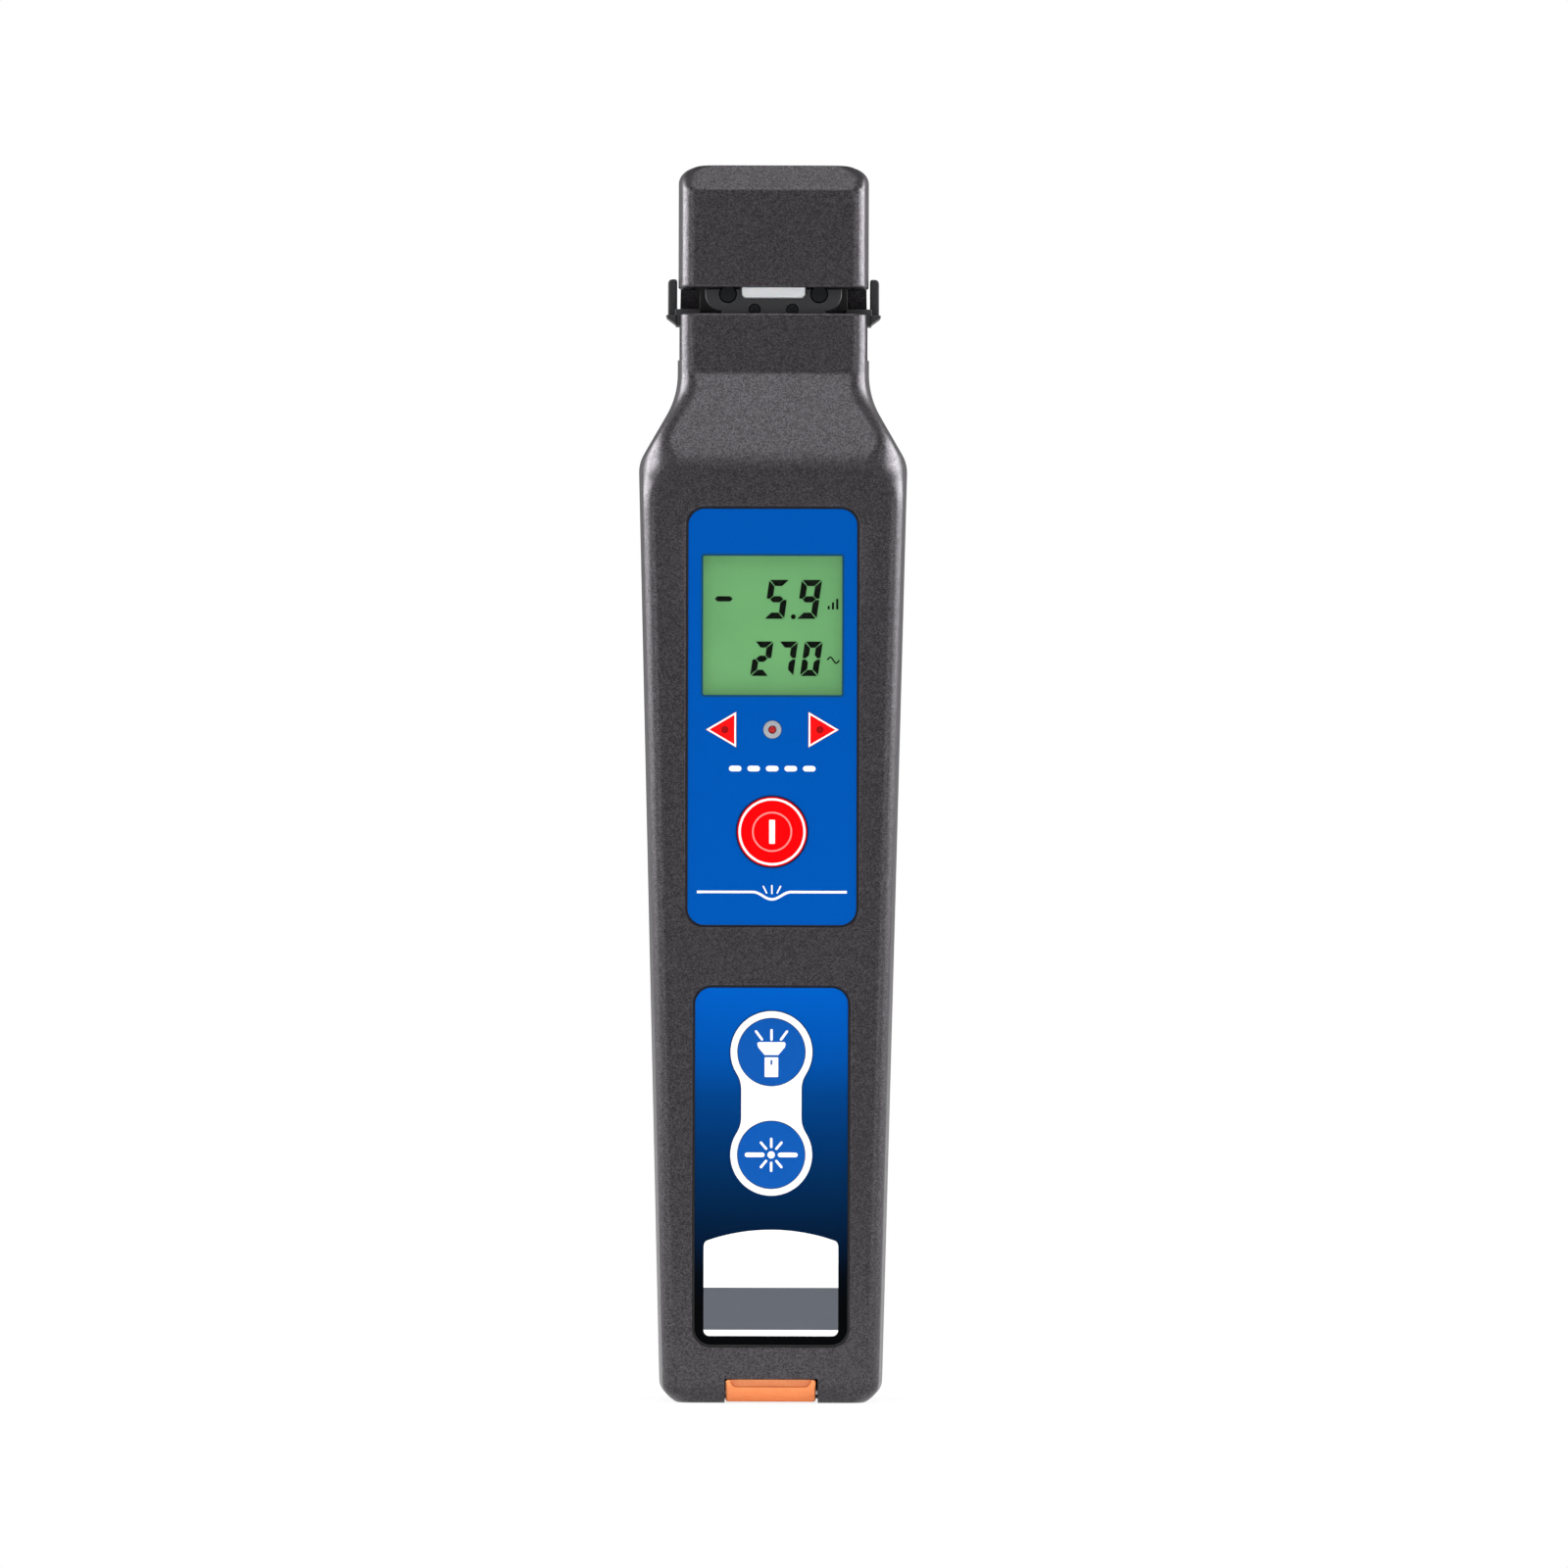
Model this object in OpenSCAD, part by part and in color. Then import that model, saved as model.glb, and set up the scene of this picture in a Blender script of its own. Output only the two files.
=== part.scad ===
/* [Casing] */
// Height of the neck's top edge above the base
neck_top = 184.8; // [182:0.1:188]
// Height of the open fibre slot between neck and head
slot_h = 4.4; // [4.3:0.1:5]
// Depth of the fibre slot behind the head's front face
slot_d = 16.6; // [16.4:0.1:17.4]
// Height of the head above the slot
head_h = 20.8; // [20:0.1:23]
// Width across the shoulders
shoulder_w = 45.7; // [44.5:0.1:47]
// Height of the shoulders, where the long taper ends
shoulder_z = 158; // [156:0.1:159]
// Width just above the chamfered foot
foot_w = 38; // [37.5:0.1:40]
// Width of the neck
neck_w = 32.6; // [32.2:0.1:33.4]
// Width of the head
head_w = 32.4; // [32:0.1:33.2]
// Depth of the body from front to back
body_d = 32; // [31.6:0.1:33.5]
// Step from the body's front face back to the neck's front face
front_step = 5; // [4.6:0.1:5.2]
// Step from the body's rear face in to the neck's rear face
rear_step = 2.5; // [1.8:0.1:2.7]
// Wall of the moulded shells
wall = 2; // [1.9:0.05:2.1]
// Radius of the upright edges at the front
front_edge_r = 2.4; // [2.2:0.1:3]
// Radius of the upright edges at the back
rear_edge_r = 3.5; // [3:0.1:3.8]

/* [Panels] */
// Width of the upper panel
upper_w = 29; // [28:0.1:30]
// Height of the upper panel's lower edge
upper_z = 80.8; // [79:0.1:82]
// Length of the upper panel
upper_h = 70.9; // [69:0.1:72]
// Width of the lower panel
lower_w = 26.3; // [25:0.1:27]
// Height of the lower panel's lower edge
lower_z = 9.7; // [9:0.1:10.5]
// Length of the lower panel
lower_h = 60.9; // [60:0.1:62]
// Corner radius of both panels
panel_r = 3; // [2.5:0.1:3.5]
// Thickness of the panel films
panel_t = 0.5; // [0.4:0.05:0.6]
// Side of the square display window
window_w = 23.6; // [23:0.1:24.2]
// Height of the display window's centre
window_z = 131.75; // [131:0.05:132.5]

/* [Keys and lights] */
// Diameter of the power key
power_key_d = 11.8; // [11:0.1:12.2]
// Height of the power key's centre
power_key_z = 96.8; // [96:0.1:98]
// Diameter of the torch key and of the locator key
small_key_d = 11.4; // [10.6:0.1:11.8]
// Height of the torch key's centre
torch_key_z = 59.5; // [58.5:0.1:60]
// Height of the locator key's centre
locator_key_z = 42.1; // [41.5:0.1:43]
// Travel of each key
key_travel = 0.3; // [0.25:0.01:0.35]
// Gap from the display window's foot to the centre of the arrow and signal lights
light_drop = 5.85; // [5.6:0.05:6.2]
// Length of one side of an arrow light
arrow_h = 6.1; // [5.6:0.1:6.4]

/* [Fibre clamp] */
// Travel of the clamp when the trigger is pulled down
clamp_travel = 5.5; // [5:0.1:5.6]
// Width of the clamp's front cheek
cheek_w = 23.2; // [22.6:0.1:23.8]
// Diameter of the two pins that the fibre bends over
bend_pin_d = 3; // [2.6:0.1:3.1]
// Distance between the two bend pins
bend_pin_gap = 15.5; // [15.2:0.1:16]
// Width of the white anvil
anvil_w = 10.8; // [10.2:0.1:11]
// Diameter of the carriage's guide rods
rod_d = 2.5; // [2.2:0.1:2.6]
// Width of the thumb trigger
trigger_w = 17; // [15:0.5:18]

/* [Batteries] */
// Diameter of an AA cell
cell_d = 14.2; // [14:0.05:14.3]
// Length of an AA cell with its nub
cell_l = 50; // [49.2:0.1:50.5]

/* [Ports] */
// Bore of the locator port, for a 2.5 mm ferrule
ferrule_bore_d = 2.52; // [2.5:0.01:2.56]
// Length of the locator port's bore
ferrule_l = 10; // [9:0.1:11]
// Width of the orange port cover
cover_w = 15.3; // [15:0.1:15.8]
// Height of the port cover's front lip
cover_h = 3.8; // [3.5:0.1:4]
// Diameter of the torch lens
torch_d = 6; // [5.6:0.1:6.2]

/* [Hidden] */
$fn = 48;

// Overrun of every cut, and the clearances that the pieces share
over = 1;
fit_gap = 0.15;
slide_gap = 0.3;
turn_gap = 0.05;
snug_gap = 0.02;

// Main places of the casing: front is towards -Y, the shells part at y = 0
front_y = -body_d / 2;
rear_y = body_d / 2;
neck_y = front_y + front_step;
neck_rear_y = rear_y - rear_step;
head_z = neck_top + slot_h;
total_h = head_z + head_h;
slot_y = neck_y + slot_d;
spine_t = 1.6;

// Foot chamfer, side draft and the crown of the head
foot_h = 3.2;
foot_cut = 2.4;
foot_bow = 2;
draft = 0.6;
bevel_h = 4;
bevel_d = 3.2;
crown_h = 2.9;
crown_w = 3.7;
crown_d = 2.4;

// Sweep from shoulder to neck: two arcs and a straight line that leans in
neck_z = 174.7;
lean = 30;
sweep_h = neck_z - shoulder_z;
sweep_w = (shoulder_w - neck_w) / 2;
arcs_r = (sweep_h * sin(lean) - sweep_w * cos(lean)) / (1 - cos(lean));
turn_share = 0.3;
turn_r = arcs_r * turn_share;
hollow_r = arcs_r - turn_r;
line_z = shoulder_z + turn_r * sin(lean);
line_x = shoulder_w / 2 - turn_r * (1 - cos(lean));
hollow_z = neck_z - hollow_r * sin(lean);

// Front slope between body and neck, and the long rear slope
slope_z = 156.8;
slope_turn = 4.7;
slope_rate = front_step / (neck_z - slope_z - slope_turn / 2);
rear_slope_z = 134;
rear_slope_h = 22;

// How far the foot's bowed edge has come in at height z
function foot_in(z) = foot_cut * pow(1 - z / foot_h, foot_bow);
// Half width, front face and rear face of the casing at height z
function side_at(z) =
    z < foot_h ? foot_w / 2 - foot_in(z)
    : z < shoulder_z ? foot_w / 2 + (shoulder_w - foot_w) / 2 * (z - foot_h) / (shoulder_z - foot_h)
    : z < line_z ? shoulder_w / 2 - turn_r + sqrt(turn_r * turn_r - (z - shoulder_z) * (z - shoulder_z))
    : z < hollow_z ? line_x - (z - line_z) * tan(lean)
    : z < neck_z ? neck_w / 2 + hollow_r - sqrt(hollow_r * hollow_r - (neck_z - z) * (neck_z - z))
    : z < head_z ? neck_w / 2 + (head_w - neck_w) / 2 * max(0, z - neck_top) / slot_h
    : head_w / 2 - crown_w * crown_at(z);
function front_at(z) =
    z < foot_h ? front_y + foot_in(z)
    : z < slope_z ? front_y
    : z < slope_z + slope_turn ? front_y + slope_rate * (z - slope_z) * (z - slope_z) / 2 / slope_turn
    : z < neck_z ? front_y + slope_rate * (z - slope_z - slope_turn / 2)
    : neck_y + bevel_d * max(0, z - total_h + bevel_h) / bevel_h;
function rear_at(z) =
    z < foot_h ? rear_y - foot_in(z)
    : z < rear_slope_z ? rear_y
    : z < rear_slope_z + rear_slope_h
        ? rear_y - rear_step * (1 - cos(180 * (z - rear_slope_z) / rear_slope_h)) / 2
    : neck_rear_y - crown_d * crown_at(z);
// How far the crown has rounded over at height z, as a share
function crown_at(z) = z < total_h - crown_h ? 0
    : 1 - sqrt(max(0, 1 - pow((z - total_h + crown_h) / crown_h, 2)));

// Heights of the casing's cross sections
function spread(from, to, count) = [for (i = [1:count]) from + (to - from) * i / count];
crown_levels = [for (i = [0:5]) total_h - crown_h + crown_h * sin(90 * i / 5)];
body_levels = concat([0], spread(0, foot_h, 4), [rear_slope_z], spread(rear_slope_z, slope_z, 5),
    spread(slope_z, neck_z, 14), [neck_top]);
head_levels = concat([head_z, total_h - bevel_h], crown_levels);
inside_body_levels = concat([wall, foot_h + wall, rear_slope_z], spread(rear_slope_z, slope_z, 2),
    spread(slope_z, neck_z, 6), [neck_top + over]);
inside_head_levels = [head_z + wall, total_h - bevel_h - wall, total_h - wall];
inside_spine_levels = [neck_top - over, head_z + wall + over];

// One half cross section at height z, drawn in by inset, with its open side past y = 0 by past
function arc_points(cx, cy, r, from, steps) =
    [for (i = [0:steps]) [cx + r * cos(from + 90 * i / steps), cy + r * sin(from + 90 * i / steps)]];
function half_ring(z, inset, past, steps, front) =
    let (
        w = side_at(z) - inset,
        r = max((front ? front_edge_r : rear_edge_r) - inset, front_edge_r / 6),
        face = front ? front_at(z) + inset : rear_at(z) - inset,
        cx = w - draft - r,
        cy = front ? face + r : face - r,
        line = front
            ? concat([[-w, past]], arc_points(-cx, cy, r, 180, steps),
                arc_points(cx, cy, r, 270, steps), [[w, past]])
            : concat([[w, -past]], arc_points(cx, cy, r, 0, steps),
                arc_points(-cx, cy, r, 90, steps), [[-w, -past]])
    )
    [for (p = line) [p[0], p[1], z]];

// Panel places
light_z = window_z - window_w / 2 - light_drop;
film_drop = 0.2;
film_y = front_y + film_drop;
panel_floor_y = film_y + panel_t;
wall_in_y = front_y + wall;

// Display stack behind the front wall
window_t = 1;
lcd_rim = 0.8;
lcd_rim_h = 1.5;
lcd_w = window_w + 2 * lcd_rim;
lcd_h = window_w + 2 * lcd_rim_h;
lcd_t = 1.8;
holder_rim = 0.8;
backlight_t = 2.2;
holder_back_t = 0.3;
lcd_gap = 0.1;
lcd_y = wall_in_y + lcd_gap;
backlight_y = lcd_y + lcd_t;
board_y = backlight_y + backlight_t + holder_back_t;

// Main board, as wide as the display holder and a lip, its top screws just above the holder
board_lip = 0.15;
board_w = lcd_w + 2 * (turn_gap + holder_rim + board_lip);
board_t = 1.6;
board_z = 34;
board_rear_y = board_y + board_t;
board_screw_in = 2.4;
board_screw_x = board_w / 2 - board_screw_in;
board_screw_low_z = 73.5;
board_screw_edge = 2.8;
board_post_r = 2;
board_screw_top_z = window_z + lcd_h / 2 + turn_gap + holder_rim + slide_gap + board_post_r;
board_screw_zs = [board_screw_low_z, board_screw_top_z];
board_top_z = board_screw_top_z + board_screw_edge;
board_screw_r = 0.8;
board_screw_head_r = 1.5;
board_screw_head_t = 1;
board_screw_l = 3.6;

// Keys and their switches
key_proud = 0.15;
key_flange = 0.8;
key_stem_r = 1.5;
key_gap = 0.1;
switch_w = 6;
switch_t = 2.1;
plunger_r = 1.7;
plunger_t = 0.2;
switch_top_y = board_y - switch_t - plunger_t;
key_front_y = film_y - key_proud;
key_stem_y = switch_top_y - key_travel - turn_gap;

// Lights
arrow_in = 0.5;
arrow_l = 5.2;
arrow_x = window_w / 2 - arrow_in;
arrow_base_x = arrow_x - arrow_l;
led_w = 2;
led_t = 1.2;
led_in = 2;
led_x = arrow_base_x + led_in;
bezel_r = 1.55;
signal_r = 0.66;
bezel_flange = 0.5;

// Casing screws: x and z of each, the same on both sides
screw_r = 1.2;
screw_head_r = 2.2;
cross_w_share = 1.3;
cross_t_share = 0.3;
screw_head_t = 1.6;
screw_l = 11;
screw_seat_y = 4;
boss_r = 2.4;
rear_boss_r = 3.4;
screw_places = [[13, 13], [16.4, 98], [17.2, 151]];
head_screw_x = 10.6;
head_screw_drop = 6;
head_screw_z = total_h - head_screw_drop;
head_screw_l = 7;
head_seat_y = 3;

// Battery compartment and its door
door_w = 30.2;
door_t = 1.8;
door_gap = 0.2;
door_z = 24.8;
door_h = 63.2;
tab_w = 4;
tab_t = 1.3;
tab_h = 2.4;
tab_x = 8;
tab_up = 1;
grip_count = 4;
grip_w = 14;
grip_pitch = 2;
grip_h = 0.9;
grip_t = 0.5;
tray_wall = 1;
contact_t = 0.4;
contact_w = 9;
nub_h = 1;
nub_r = 2.7;
spring_room = 4.2;
door_in_y = rear_y - door_t;
tray_rear_y = door_in_y - door_gap;
cell_x = cell_d / 2 + slide_gap;
cell_y = tray_rear_y - cell_d / 2 - door_gap / 2;
tray_in_w = 2 * cell_x + cell_d + 2 * fit_gap;
tray_in_y = cell_y - cell_d / 2 - fit_gap;
tab_swing = norm([door_t + door_gap * 2 + tab_t, tab_up]);
tray_z = door_z + tab_swing + slide_gap;
cell_room_z = tray_z + tray_wall + contact_t;
cell_room_h = cell_l + spring_room;
tray_top_z = cell_room_z + cell_room_h + contact_t + tray_wall;

// Base: port cover, its pin, port housing, torch
cover_gap_left = 0.15;
cover_gap_right = 0.35;
cover_rise = 0.2;
cover_t = 2;
cover_lip_t = 2;
knuckle_r = 1.3;
cover_pin_r = 0.75;
cover_pin_y = 2.6;
cover_pin_z = cover_rise + knuckle_r;
pin_bite = 1.4;
knuckle_w = 2;
notch_h = cover_h + cover_rise + fit_gap;
notch_rear_y = cover_pin_y + knuckle_r + slide_gap;
housing_w = 18.8;
housing_z = notch_h + fit_gap;
housing_h = 8;
housing_front_y = -11.4;
housing_rear_y = 12.6;
port_y = -5;
sleeve_r = 3;
sleeve_clear = 1.2;
sleeve_z = cover_rise + cover_t + sleeve_clear;
collar_r = 4;
collar_t = 1.4;
laser_r = 3.2;
laser_l = 15;
torch_y = 9;
torch_lens_t = 1.6;
torch_led_r = 2.5;
torch_led_l = 7;
torch_board_t = 1.2;
torch_board_w = 9;
scoop_r = 17;
scoop_w = 13;
scoop_d = 0.8;

// Fibre clamp: the moving carriage, cradle, cheek and ears
cheek_y = neck_y + wall + slide_gap;
cheek_t = 1.4;
cheek_h = 8;
cheek_foot_w = 17.4;
cradle_y = cheek_y + cheek_t;
channel_d = 6.3;
back_wall_y = cradle_y + channel_d;
back_wall_t = 1.8;
moving_rear_y = slot_y - 4 * slide_gap;
moving_w = 25.2;
floor_drop = 0.2;
floor_z = neck_top - floor_drop;
web_t = 1.8;
web_z = floor_z - web_t;
web_set_in = 0.8;
web_set_back = 0.4;
web_front_y = cradle_y + web_set_in;
web_rear_y = moving_rear_y - web_set_back;
ear_in = max(neck_w, head_w) / 2 + fit_gap;
ear_t = 1.55;
ear_out = ear_in + ear_t;
ear_flare = 0.25;
ear_drop = 0.4;
web_lip = 1;
ear_rise = 1.65;
ear_top_z = head_z + ear_rise;
carriage_h = 17;
cradle_h = 4.6;
carriage_top_z = floor_z - cradle_h;
carriage_z = carriage_top_z - carriage_h;
bend_pin_drop = 1.1;
bend_pin_z = head_z - bend_pin_drop;
pocket_h = 2.2;
pocket_w = 27;
cheek_screw_x = 3.2;
cheek_screw_rise = 0.8;
cheek_screw_at = floor_z + cheek_screw_rise;
cheek_screw_r = 0.6;
cheek_screw_head_r = 1;
cheek_screw_l = 2.2;
cheek_lug_w = 10;
cheek_lug_h = 2;
cheek_lug_t = 1.9;
rod_x = 9.2;
rod_set_in = 5.6;
rod_y = cradle_y + rod_set_in;
bracket_h = 6;
spring_h = 11;
bracket_top_z = carriage_z - spring_h;
bracket_w = 26;
bracket_front_y = -5;
bracket_rear_y = 8;
spring_r = 1.95;
spring_wire_r = 0.3;
spring_turns = 6;
cell_spring_r = 2.6;
cell_spring_turns = 3;
bracket_screw_x = 4.6;
bracket_screw_l = 15.6;
bracket_screw_r = 1;
bracket_screw_head_r = 1.9;
bracket_screw_head_t = 1.3;

// Trigger behind the neck
trigger_h = 16;
trigger_t = 4;
trigger_rise = 3;
trigger_z = carriage_z + trigger_rise;
arm_w = 6.8;
arm_h = 8;
arm_rise = 6;
arm_z = carriage_z + arm_rise;
trigger_y = neck_rear_y + slide_gap;
trigger_screw_r = 0.9;
trigger_screw_head_r = 1.8;
trigger_screw_head_t = 1.2;
trigger_seat_d = 1.4;
trigger_seat_y = trigger_y + trigger_seat_d;
trigger_screw_l = 14;
trigger_ridges = 4;
ridge_t = 0.7;

// Head insides: anvil, its holder, detectors, board and shield
anvil_drop = 1.7;
anvil_z = head_z - anvil_drop;
anvil_cut = 0.7;
anvil_set_in = 0.4;
anvil_set_back = 0.6;
anvil_front_y = cheek_y + anvil_set_in;
anvil_rear_y = back_wall_y - anvil_set_back;
anvil_up = 3;
holder_w = 25.6;
holder_z = head_z + pocket_h;
holder_h = 6;
holder_front_y = neck_y + wall + fit_gap;
holder_rear_y = 9;
detector_r = 2.3;
detector_x = 7.4;
detector_h = 4;
detector_y = (anvil_front_y + anvil_rear_y) / 2;
detector_board_z = holder_z + holder_h;
detector_board_t = 1.2;
shield_w = 13.6;
shield_d = 10.88;
shield_h = 3.4;
shield_t = 0.4;
holder_screw_x = 10.8;
holder_screw_y = 3;
holder_screw_l = 5;
holder_screw_r = 0.8;
holder_screw_head_r = 1.5;
holder_screw_head_t = 1;

// Flat cable from the detectors down the spine to the main board
flex_w = 4.6;
flex_x = 9.6;
flex_t = 0.3;
flex_off = 0.6;
flex_y = holder_rear_y + flex_off;
flex_drop = 10;
flex_foot_z = board_top_z - flex_drop;
connector_w = 6.4;
connector_h = 3;
connector_t = 2.2;

// Shared shapes. Lofts join half cross sections; plates and bars follow one axis
module loft(levels, inset, past, steps, front) {
    rings = [for (z = levels) half_ring(z, inset, past, steps, front)];
    n = len(rings[0]);
    last = len(rings) - 1;
    polyhedron(
        points = [for (ring = rings, p = ring) p],
        faces = concat(
            [[for (j = [0:n - 1]) j]],
            [[for (j = [0:n - 1]) last * n + n - 1 - j]],
            [for (i = [0:last - 1], j = [0:n - 1], half = [0:1])
                let (k = (j + 1) % n)
                half == 0 ? [i * n + j, i * n + n + j, i * n + n + k]
                    : [i * n + j, i * n + n + k, i * n + k]]));
}
module slab(w, y0, y1, z0, z1) {
    translate([-w / 2, y0, z0]) cube([w, y1 - y0, z1 - z0]);
}
module box(x0, x1, y0, y1, z0, z1) {
    translate([x0, y0, z0]) cube([x1 - x0, y1 - y0, z1 - z0]);
}
module bar_y(r, x, z, y0, y1) {
    translate([x, y0, z]) rotate([-90, 0, 0]) cylinder(r = r, h = y1 - y0);
}
module bar_z(r, x, y, z0, z1) {
    translate([x, y, z0]) cylinder(r = r, h = z1 - z0);
}
module bar_x(r, y, z, x0, x1) {
    translate([x0, y, z]) rotate([0, 90, 0]) cylinder(r = r, h = x1 - x0);
}
// A flat outline drawn in x and z, between two depths
module plate_y(y0, y1) {
    translate([0, y1, 0]) rotate([90, 0, 0]) linear_extrude(y1 - y0) children();
}
// An outline drawn in y and z, between two places across
module plate_x(x0, x1) {
    translate([x0, 0, 0]) rotate([90, 0, 90]) linear_extrude(x1 - x0) children();
}
module round_rect(w, z0, z1, r) {
    translate([-w / 2 + r, z0]) square([w - 2 * r, z1 - z0]);
    translate([-w / 2, z0 + r]) square([w, z1 - z0 - 2 * r]);
    for (x = [-w / 2 + r, w / 2 - r], z = [z0 + r, z1 - r]) translate([x, z]) circle(r);
}
module both_sides() {
    children();
    mirror([1, 0, 0]) children();
}
module screw_y(r, head_r, head_t, l, x, z, y, way) {
    // Head on the side that way points to, seated at y
    bar_y(r, x, z, way > 0 ? y - l : y, way > 0 ? y : y + l);
    difference() {
        bar_y(head_r, x, z, way > 0 ? y : y - head_t, way > 0 ? y + head_t : y);
        for (turn = [0, 90])
            translate([x, y + way * head_t, z]) rotate([0, turn, 0])
                cube([head_r * cross_w_share, head_t, head_r * cross_t_share], center = true);
    }
}
module coil(r, wire_r, turns, h) {
    steps = 14;
    sides = 6;
    count = turns * steps;
    rise = h - 2 * wire_r;
    points = [for (i = [0:count], j = [0:sides - 1])
        let (a = 360 * i / steps, b = 360 * j / sides, d = r + wire_r * cos(b))
        [d * cos(a), d * sin(a), wire_r + rise * i / count + wire_r * sin(b)]];
    polyhedron(points = points, faces = concat(
        [[for (j = [0:sides - 1]) j]],
        [[for (j = [0:sides - 1]) count * sides + sides - 1 - j]],
        [for (i = [0:count - 1], j = [0:sides - 1], half = [0:1])
            let (k = (j + 1) % sides)
            half == 0 ? [i * sides + j, i * sides + sides + j, i * sides + sides + k]
                : [i * sides + j, i * sides + sides + k, i * sides + k]]));
}

// Cuts that both shells share
module slot_cut() {
    slab(shoulder_w, neck_y - over, slot_y, neck_top, head_z);
}
module ear_slots() {
    both_sides() box(moving_w / 2 - slide_gap, neck_w, web_front_y - slide_gap,
        web_rear_y + slide_gap, web_z - clamp_travel - slide_gap, neck_top + over);
}
module cover_notch() {
    box(-cover_w / 2 - cover_gap_left, cover_w / 2 + cover_gap_right, front_y - over,
        notch_rear_y, -over, notch_h);
}
module head_pocket() {
    slab(pocket_w, neck_y + wall, back_wall_y + back_wall_t + 2 * slide_gap, head_z - over,
        head_z + wall + over);
}
module arrow_outline(side, grow) {
    polygon([[side * (arrow_x + 2 * grow), light_z], [side * (arrow_base_x - grow),
        light_z - arrow_h / 2 - 1.5 * grow], [side * (arrow_base_x - grow),
        light_z + arrow_h / 2 + 1.5 * grow]]);
}

module front_shell() {
    color("#434145") difference() {
        union() {
            difference() {
                loft(body_levels, 0, 0, 5, true);
                loft(inside_body_levels, wall, over, 2, true);
            }
            both_sides() for (p = screw_places)
                bar_y(boss_r, p[0], p[1], front_at(p[1]) + wall / 2, 0);
            for (x = [-board_screw_x, board_screw_x], z = board_screw_zs)
                bar_y(board_post_r, x, z, front_y + wall / 2, board_y);
        }
        both_sides() for (p = screw_places)
            bar_y(screw_r + turn_gap, p[0], p[1], screw_seat_y - screw_l - turn_gap * 4, over);
        for (x = [-board_screw_x, board_screw_x], z = board_screw_zs)
            bar_y(board_screw_r + snug_gap, x, z,
                board_rear_y - board_screw_l - turn_gap * 4, board_y + over);
        plate_y(front_y - over, panel_floor_y)
            round_rect(upper_w + 2 * fit_gap, upper_z - fit_gap, upper_z + upper_h + fit_gap,
                panel_r + fit_gap);
        plate_y(front_y - over, panel_floor_y)
            round_rect(lower_w + 2 * fit_gap, lower_z - fit_gap, lower_z + lower_h + fit_gap,
                panel_r + fit_gap);
        slab(window_w, front_y, wall_in_y + over, window_z - window_w / 2, window_z + window_w / 2);
        for (side = [-1, 1]) plate_y(front_y, wall_in_y + over) arrow_outline(side, fit_gap);
        bar_y(bezel_r + snug_gap, 0, light_z, front_y, wall_in_y + over);
        bar_y(power_key_d / 2 + key_gap, 0, power_key_z, front_y, wall_in_y + over);
        for (z = [torch_key_z, locator_key_z])
            bar_y(small_key_d / 2 + key_gap, 0, z, front_y, wall_in_y + over);
        ear_slots();
        cover_notch();
    }
}
module rear_shell() {
    color("#3f3d41") difference() {
        union() {
            difference() {
                loft(concat(body_levels, head_levels), 0, 0, 5, false);
                loft(inside_body_levels, wall, over, 2, false);
                intersection() {
                    loft(inside_spine_levels, wall, over, 2, false);
                    slab(holder_w, slot_y + spine_t, rear_y, neck_top - over, head_z + wall + over);
                }
                loft(inside_head_levels, wall, over, 2, false);
                slot_cut();
                slab(arm_w + 2 * slide_gap, 0, rear_y + over, arm_z - clamp_travel - slide_gap,
                    arm_z + arm_h + slide_gap);
                slab(door_w + 2 * door_gap, tray_rear_y, rear_y + over, door_z,
                    door_z + door_h + 2 * door_gap);
                slab(tray_in_w + 2 * tray_wall + 2 * fit_gap, 0, rear_y + over,
                    tray_z - fit_gap, tray_top_z + fit_gap);
                both_sides() box(tab_x - tab_w / 2 - slide_gap, tab_x + tab_w / 2 + slide_gap, 0,
                    rear_y + over, door_z, door_z + wall);
            }
            intersection() {
                union() {
                    both_sides() for (p = screw_places)
                        bar_y(rear_boss_r, p[0], p[1], 0, rear_y);
                    both_sides() bar_y(rear_boss_r, head_screw_x, head_screw_z, 0, rear_y);
                    both_sides() bar_y(boss_r, bracket_screw_x, bracket_top_z - bracket_h / 2,
                        bracket_rear_y, rear_y);
                    both_sides() box(cover_w / 2 + cover_gap_right, cover_w / 2 + cover_gap_right
                        + knuckle_w, 0, notch_rear_y + wall, 0, cover_pin_z + 2 * cover_pin_r);
                }
                loft(concat(body_levels, head_levels), wall / 2, 0, 2, false);
            }
        }
        both_sides() for (p = screw_places) {
            bar_y(screw_r + fit_gap, p[0], p[1], -over, rear_y);
            bar_y(screw_head_r + fit_gap, p[0], p[1], screw_seat_y, rear_y + over);
        }
        both_sides() {
            bar_y(screw_r + fit_gap, head_screw_x, head_screw_z, -over, rear_y);
            bar_y(screw_head_r + fit_gap, head_screw_x, head_screw_z, head_seat_y, rear_y + over);
            bar_y(bracket_screw_r + snug_gap, bracket_screw_x, bracket_top_z - bracket_h / 2,
                bracket_rear_y - over, bracket_front_y + bracket_screw_l + turn_gap * 4);
        }
        bar_x(cover_pin_r + snug_gap, cover_pin_y, cover_pin_z,
            -cover_w / 2 - pin_bite, cover_w / 2 + pin_bite);
        bar_z(torch_d / 2 + turn_gap, 0, torch_y, -over, wall + over);
        ear_slots();
        cover_notch();
        head_pocket();
    }
}
module head_front_cover() {
    color("#434247") difference() {
        union() {
            difference() {
                loft(head_levels, 0, 0, 5, true);
                loft(inside_head_levels, wall, over, 2, true);
            }
            both_sides() bar_y(boss_r, head_screw_x, head_screw_z, neck_y + wall / 2, 0);
        }
        both_sides() bar_y(screw_r + turn_gap, head_screw_x, head_screw_z,
            head_seat_y - head_screw_l - turn_gap * 4, over);
        head_pocket();
    }
}
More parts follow.
